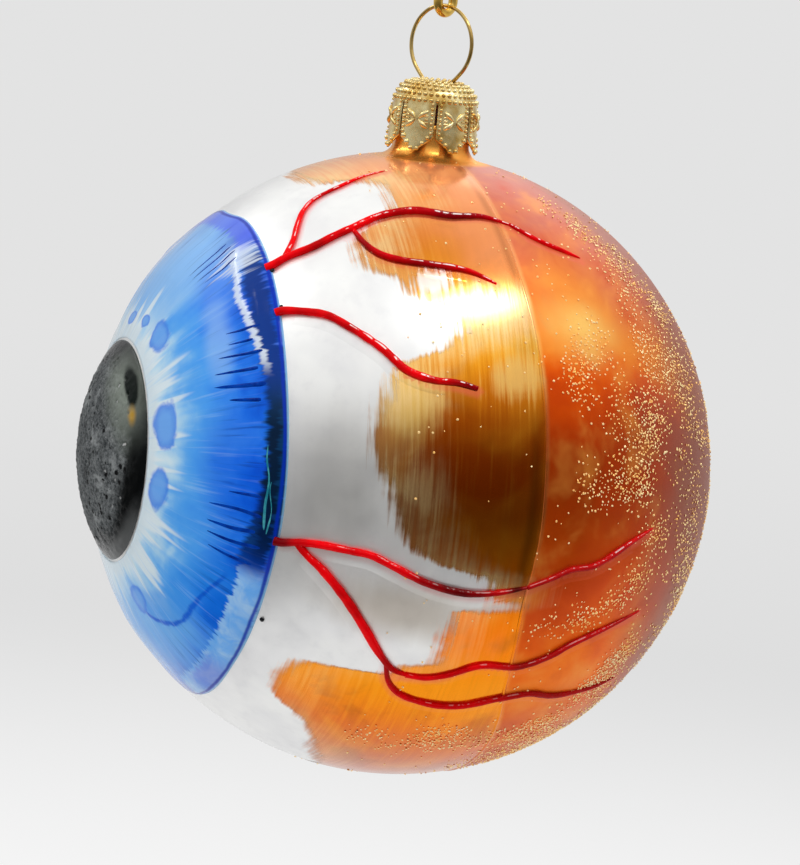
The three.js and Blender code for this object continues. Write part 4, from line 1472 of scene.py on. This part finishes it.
def studio_camera():
    right, up, back = camera_axes()
    focal_px = BALL_RADIUS_PX * math.sqrt(CAMERA_DISTANCE**2 - BALL_R**2) / BALL_R
    data = bpy.data.cameras.new("camera")
    data.lens = focal_px * SENSOR / PICTURE_HEIGHT
    data.sensor_width = SENSOR
    data.clip_start, data.clip_end = 0.01, 50
    shift = [offset * CAMERA_DISTANCE / focal_px for offset in BALL_OFFSET_PX]
    place = Vector((0, 0, BALL_Z)) + back * CAMERA_DISTANCE + right * shift[0] + up * shift[1]
    camera = linked("camera", data)
    camera.matrix_world = Matrix.Translation(place * MM) @ Matrix((right, up, back)).transposed().to_4x4()
    bpy.context.scene.camera = camera


def lamp(name, towards, distance, size, power, glossy):
    """Soft square lamp that faces the ball from a direction given by (right, up, back) of the camera."""
    direction = sum((axis * share for axis, share in zip(camera_axes(), towards)), Vector()).normalized()
    data = bpy.data.lights.new(name, "AREA")
    data.shape, data.energy = "RECTANGLE", power
    data.size, data.size_y = size
    light = linked(name, data)
    light.location = Vector((0, 0, BALL_Z * MM)) + direction * distance
    light.rotation_mode = "QUATERNION"
    light.rotation_quaternion = direction.to_track_quat("Z", "Y")
    light.visible_camera, light.visible_glossy = False, glossy


def studio_sky():
    """Soft sky that is paler in reflections than in the light it gives."""
    world = bpy.data.worlds.new("studio")
    bpy.context.scene.world = world
    world.use_nodes = True
    world.node_tree.nodes.clear()
    r = Recipe(world.node_tree)
    path = r.add("ShaderNodeLightPath").outputs
    height = r.parts(r.add("ShaderNodeTexCoord").outputs["Generated"])[2]
    tent = r.mix(r.step(height, 0.2, 0.62), (0.56, 0.56, 0.57, 1), (0.97, 0.97, 0.96, 1))
    sky = r.mix(path["Is Glossy Ray"], (0.52, 0.52, 0.525, 1), tent)
    light = r.add("ShaderNodeBackground", {"Color": sky})
    seen = r.add("ShaderNodeBackground", {"Color": srgb(227, 227, 227)})
    shown = r.math("MAXIMUM", path["Is Camera Ray"], path["Is Transmission Ray"])
    r.show(r.either(shown, light, seen), "ShaderNodeOutputWorld")


def studio_floor():
    """Pale floor well below the hanging part, white near it and grey far away."""
    bpy.ops.mesh.primitive_grid_add(
        x_subdivisions=8, y_subdivisions=8, size=40, location=(0, 0, FLOOR_Z * MM))
    floor = bpy.context.object
    floor.name = "floor"
    r = new_material("studio_floor")
    path = r.add("ShaderNodeLightPath").outputs
    distance = r.add("ShaderNodeVectorMath", {0: r.place()}, operation="LENGTH").outputs["Value"]
    pale = r.tones(distance, 0.95, 1.7, (255, 255, 255), (227, 227, 227))
    seen = r.add("ShaderNodeEmission", {"Color": pale, "Strength": 1.0})
    paint = r.add("ShaderNodeBsdfDiffuse", {"Color": srgb(232, 232, 232)})
    shown = r.math("MAXIMUM", path["Is Camera Ray"], path["Is Transmission Ray"])
    lit = r.times(shown, r.step(distance, 0.8, 3.0, 0.84, 1.0))
    share = r.math("MAXIMUM", lit, r.times(path["Is Glossy Ray"], 0.7))
    r.show(r.either(share, paint, seen))
    floor.data.materials.append(r.material)
    floor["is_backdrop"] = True


def studio():
    """Soft sky, three soft lamps, the floor, and cards that only reflections see."""
    bpy.context.scene.view_settings.view_transform = "Standard"
    studio_sky()
    lamp("key", (0.4, 0.83, 0.385), 0.55, (0.44, 0.11), 1.6, False)
    lamp("fill", (-0.8, 0.3, 0.7), 0.8, (0.5, 0.5), 1.3, False)
    lamp("back", (0.4, 0.7, -0.9), 0.7, (0.4, 0.4), 0.6, True)
    studio_floor()
    bent_card("dark_card", 300.0, (-134, 88), (-46, 34), (24, 24, 8, 56), (0.08, 0.076, 0.07), 1.0, 0.91)
    bent_card("light_band", 290.0, (-128, -56), (45.5, 50.5), (5, 8, 1.5, 1.5), (1.0, 1.0, 1.0), 10.0, 1.0)
    bent_card("window", 285.0, (4, 76), (46.0, 60.0), (16, 22, 5, 5), (1.0, 1.0, 1.0), 6.0, 1.0)


def bent_card(name, reach, pans, tilts, soft, colour, strength, share):
    """Curved card round the ball that only reflections see.

    Pan and tilt are degrees seen from the ball, from the camera's direction. Soft holds the width of the
    left, right, lower and upper border.
    """
    right, up, back = (np.array(axis) for axis in camera_axes())
    pan, tilt = np.meshgrid(np.linspace(*pans, 61), np.linspace(*tilts, 31))
    border = np.ones_like(pan)
    for margin, width in zip((pan - pans[0], pans[1] - pan, tilt - tilts[0], tilts[1] - tilt), soft):
        border = border * np.clip(margin / width, 0, 1)
    a, t = np.radians(pan)[..., None], np.radians(tilt)[..., None]
    way = right * np.sin(a) * np.cos(t) + up * np.sin(t) + back * np.cos(a) * np.cos(t)
    card = mesh_piece(name, (CENTRE + way * reach).reshape(-1, 3), grid_faces(*pan.shape, False))
    mark_points(card.data, "border", border)
    card.visible_camera = card.visible_diffuse = card.visible_shadow = card.visible_transmission = False
    r = new_material(name)
    cover = r.step(r.attribute("border"), 0.0, 1.0, 0.0, share)
    clear = r.add("ShaderNodeBsdfTransparent")
    r.show(r.either(cover, clear, r.add("ShaderNodeEmission", {"Color": (*colour, 1), "Strength": strength})))
    card.data.materials.append(r.material)
    card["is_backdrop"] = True


def glitter_spray():
    """Gold flakes over the back of the ball, scattered on an open surface that says how dense they are."""
    clock = np.linspace(0, 360, 240, endpoint=False)
    polar = np.linspace(72, 179.5, 130)[:, None]
    places = on_ball(polar, clock + 0 * polar, BALL_R + 0.1)
    amount = glitter_amount(polar + 0 * clock, clock + 0 * polar)
    carrier = mesh_piece("glitter_spray", places.reshape(-1, 3), grid_faces(*amount.shape, True))
    mark_points(carrier.data, "glitter", amount)
    return with_tree(carrier, FLAKES, {"Density": 5.6e6, "Flake": 0.135 * MM, "Seed": 3, "Material": GLITTER})


# Thick patches of glitter: polar and clock angle, reach in both, and density
GLITTER_PATCHES = [
    (107, 23, 4, 5, 0.5), (113, 28, 5, 4, 0.9), (119, 33, 6, 6, 1.0), (125, 42, 8, 9, 1.0),
    (124, 56, 9, 10, 1.0),
    (120, 68, 9, 9, 1.0), (103, 62, 3.5, 7, 0.8), (108, 56, 4, 5, 0.5), (115, 82, 6, 5, 1.0),
    (107, 84, 4, 4, 0.6),
    (136, 62, 10, 26, 0.5), (124, 94, 4, 3.5, 0.9), (121, 103, 3.5, 4, 0.9), (115, 107, 4, 3, 0.9),
    (108, 109, 4, 2.5, 0.8), (100, 110, 4, 2.5, 0.6), (122, 124, 6, 5, 1.0), (118, 130, 6, 5, 1.0),
    (108, 140, 7, 5, 1.0), (92, 138, 9, 5, 0.8), (78, 141, 6, 4, 0.35), (150, 100, 22, 60, 0.4),
    (118, 150, 20, 14, 0.6),
]


def glitter_amount(polar, clock):
    """Share of full density: thick round the back, patchy at the sides, thin near the seam."""
    side = np.abs(np.mod(clock + 180, 360) - 180)
    total = np.where(polar < 97, 0.012, 0.03) + 0 * clock
    for at_polar, at_clock, reach, clock_reach, amount in GLITTER_PATCHES:
        gap = np.sqrt(((polar - at_polar) / reach) ** 2 + ((side - at_clock) / clock_reach) ** 2)
        total = np.maximum(total, amount * np.clip(1.6 - gap, 0, 1) ** 1.5)
    flat = on_ball(polar, clock).reshape(-1, 3)
    cloud = np.array([noise.fractal(Vector(p) * 0.16, 1.0, 2.0, 3) for p in flat]).reshape(polar.shape)
    return total * np.clip(0.75 + 1.3 * cloud, 0.05, 1.6)


def dress(piece, body, slot, *nodes):
    """Rides on its body and stands for CAD nodes, which it hides. The slot is not used."""
    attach(piece, body)
    if nodes:
        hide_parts(*nodes)


studio_camera()
studio()

EYE = place_on_eye()
STREAKS = brushed_streaks()
PATCH = paint_patch()
PEARL_PAINT = pearl_paint()
AMBER_PAINT = amber_paint()
PEARL = painted_glass("pearl_over_silvered_glass", PEARL_PAINT, 0.3, 0.5)
AMBER = painted_glass("amber_lacquer_over_silver", AMBER_PAINT, 0.03, 0.12, see_through=True)
RIDGED = ridged_glass()
IRIS = iris_blue()
PUPIL = pupil_black()
VEIN = vein_red()
NAVY = stroke_paint("iris_navy_stroke", (0, 34, 124), (0, 66, 176), shine=0.03)
TEAL = stroke_paint("iris_teal_stroke", (20, 120, 140), (90, 190, 200))
INK = stroke_paint("ink_black", (6, 6, 10), (24, 26, 34))
GOLD_CAP = gold("stamped_gold_sheet", (206, 166, 84), (255, 240, 182), 0.16, 2200.0, 0.85)
GOLD_WIRE = gold("drawn_gold_wire", (170, 136, 70), (222, 190, 118), 0.08, 1800.0)
GOLD_LINK = gold("cast_gold_link", (206, 158, 60), (244, 206, 110), 0.1, 1500.0)
# The glitter's faint emission is a painted glow that keeps the flakes bright where the lamps don't reach.
GLITTER = gold("gold_glitter", (255, 196, 104), (255, 234, 176), 0.3, 3000.0, 0.35, 0.14)

BEAD = laid_bead_tree()
FLAKES = scattered_flakes_tree()
PRESSED = pressed_beads_tree()

dress(blown_globe(PEARL), "globe", "pearl_glass", "glass_globe")
dress(moulded_ridges(), "globe", "pearl_glass")
dress(amber_skin(AMBER), "globe", "amber_lacquer", "amber_coat")
dress(mould_seam(), "globe", "amber_lacquer")
dress(iris_coat(IRIS), "globe", "iris_enamel", "iris_coat")
dress(iris_strokes("navy_strokes", NAVY_STROKES, NAVY), "globe", "iris_enamel")
dress(iris_strokes("teal_lines", TEAL_LINES, TEAL), "globe", "iris_enamel")
dress(ink_dots(), "globe", "pupil_enamel")
dress(pupil_coat(PUPIL), "globe", "pupil_enamel", "pupil_coat")
for vein in VEINS:
    dress(vein_bead(vein), "globe", "vein_enamel", vein)
dress(glitter_spray(), "globe", "gold_cap")
dress(crown_sheet(), "cap", "gold_cap", "crown_cap")
dress(crown_beads(0.24, petal_sides(0.83, SLIT_TOP + 0.1, PETAL_CORNER + 0.7, 12, 0.04)), "cap", "gold_cap")
dress(crown_beads(0.31, petal_sides(0.7, PETAL_CORNER + 0.1, PETAL_TIP + 0.45, 7, 0.05)), "cap", "gold_cap")
dress(crown_beads(0.31, top_rings()), "cap", "gold_cap")
dress(crown_flowers(), "cap", "gold_cap")
dress(hanger_ring(), "hanger", "gold_wire", "hanger_wire")
dress(chain_eye(), "link", "gold_link", "chain_link")

{"cad": cad_box, "visual": [list(corner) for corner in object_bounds()]}
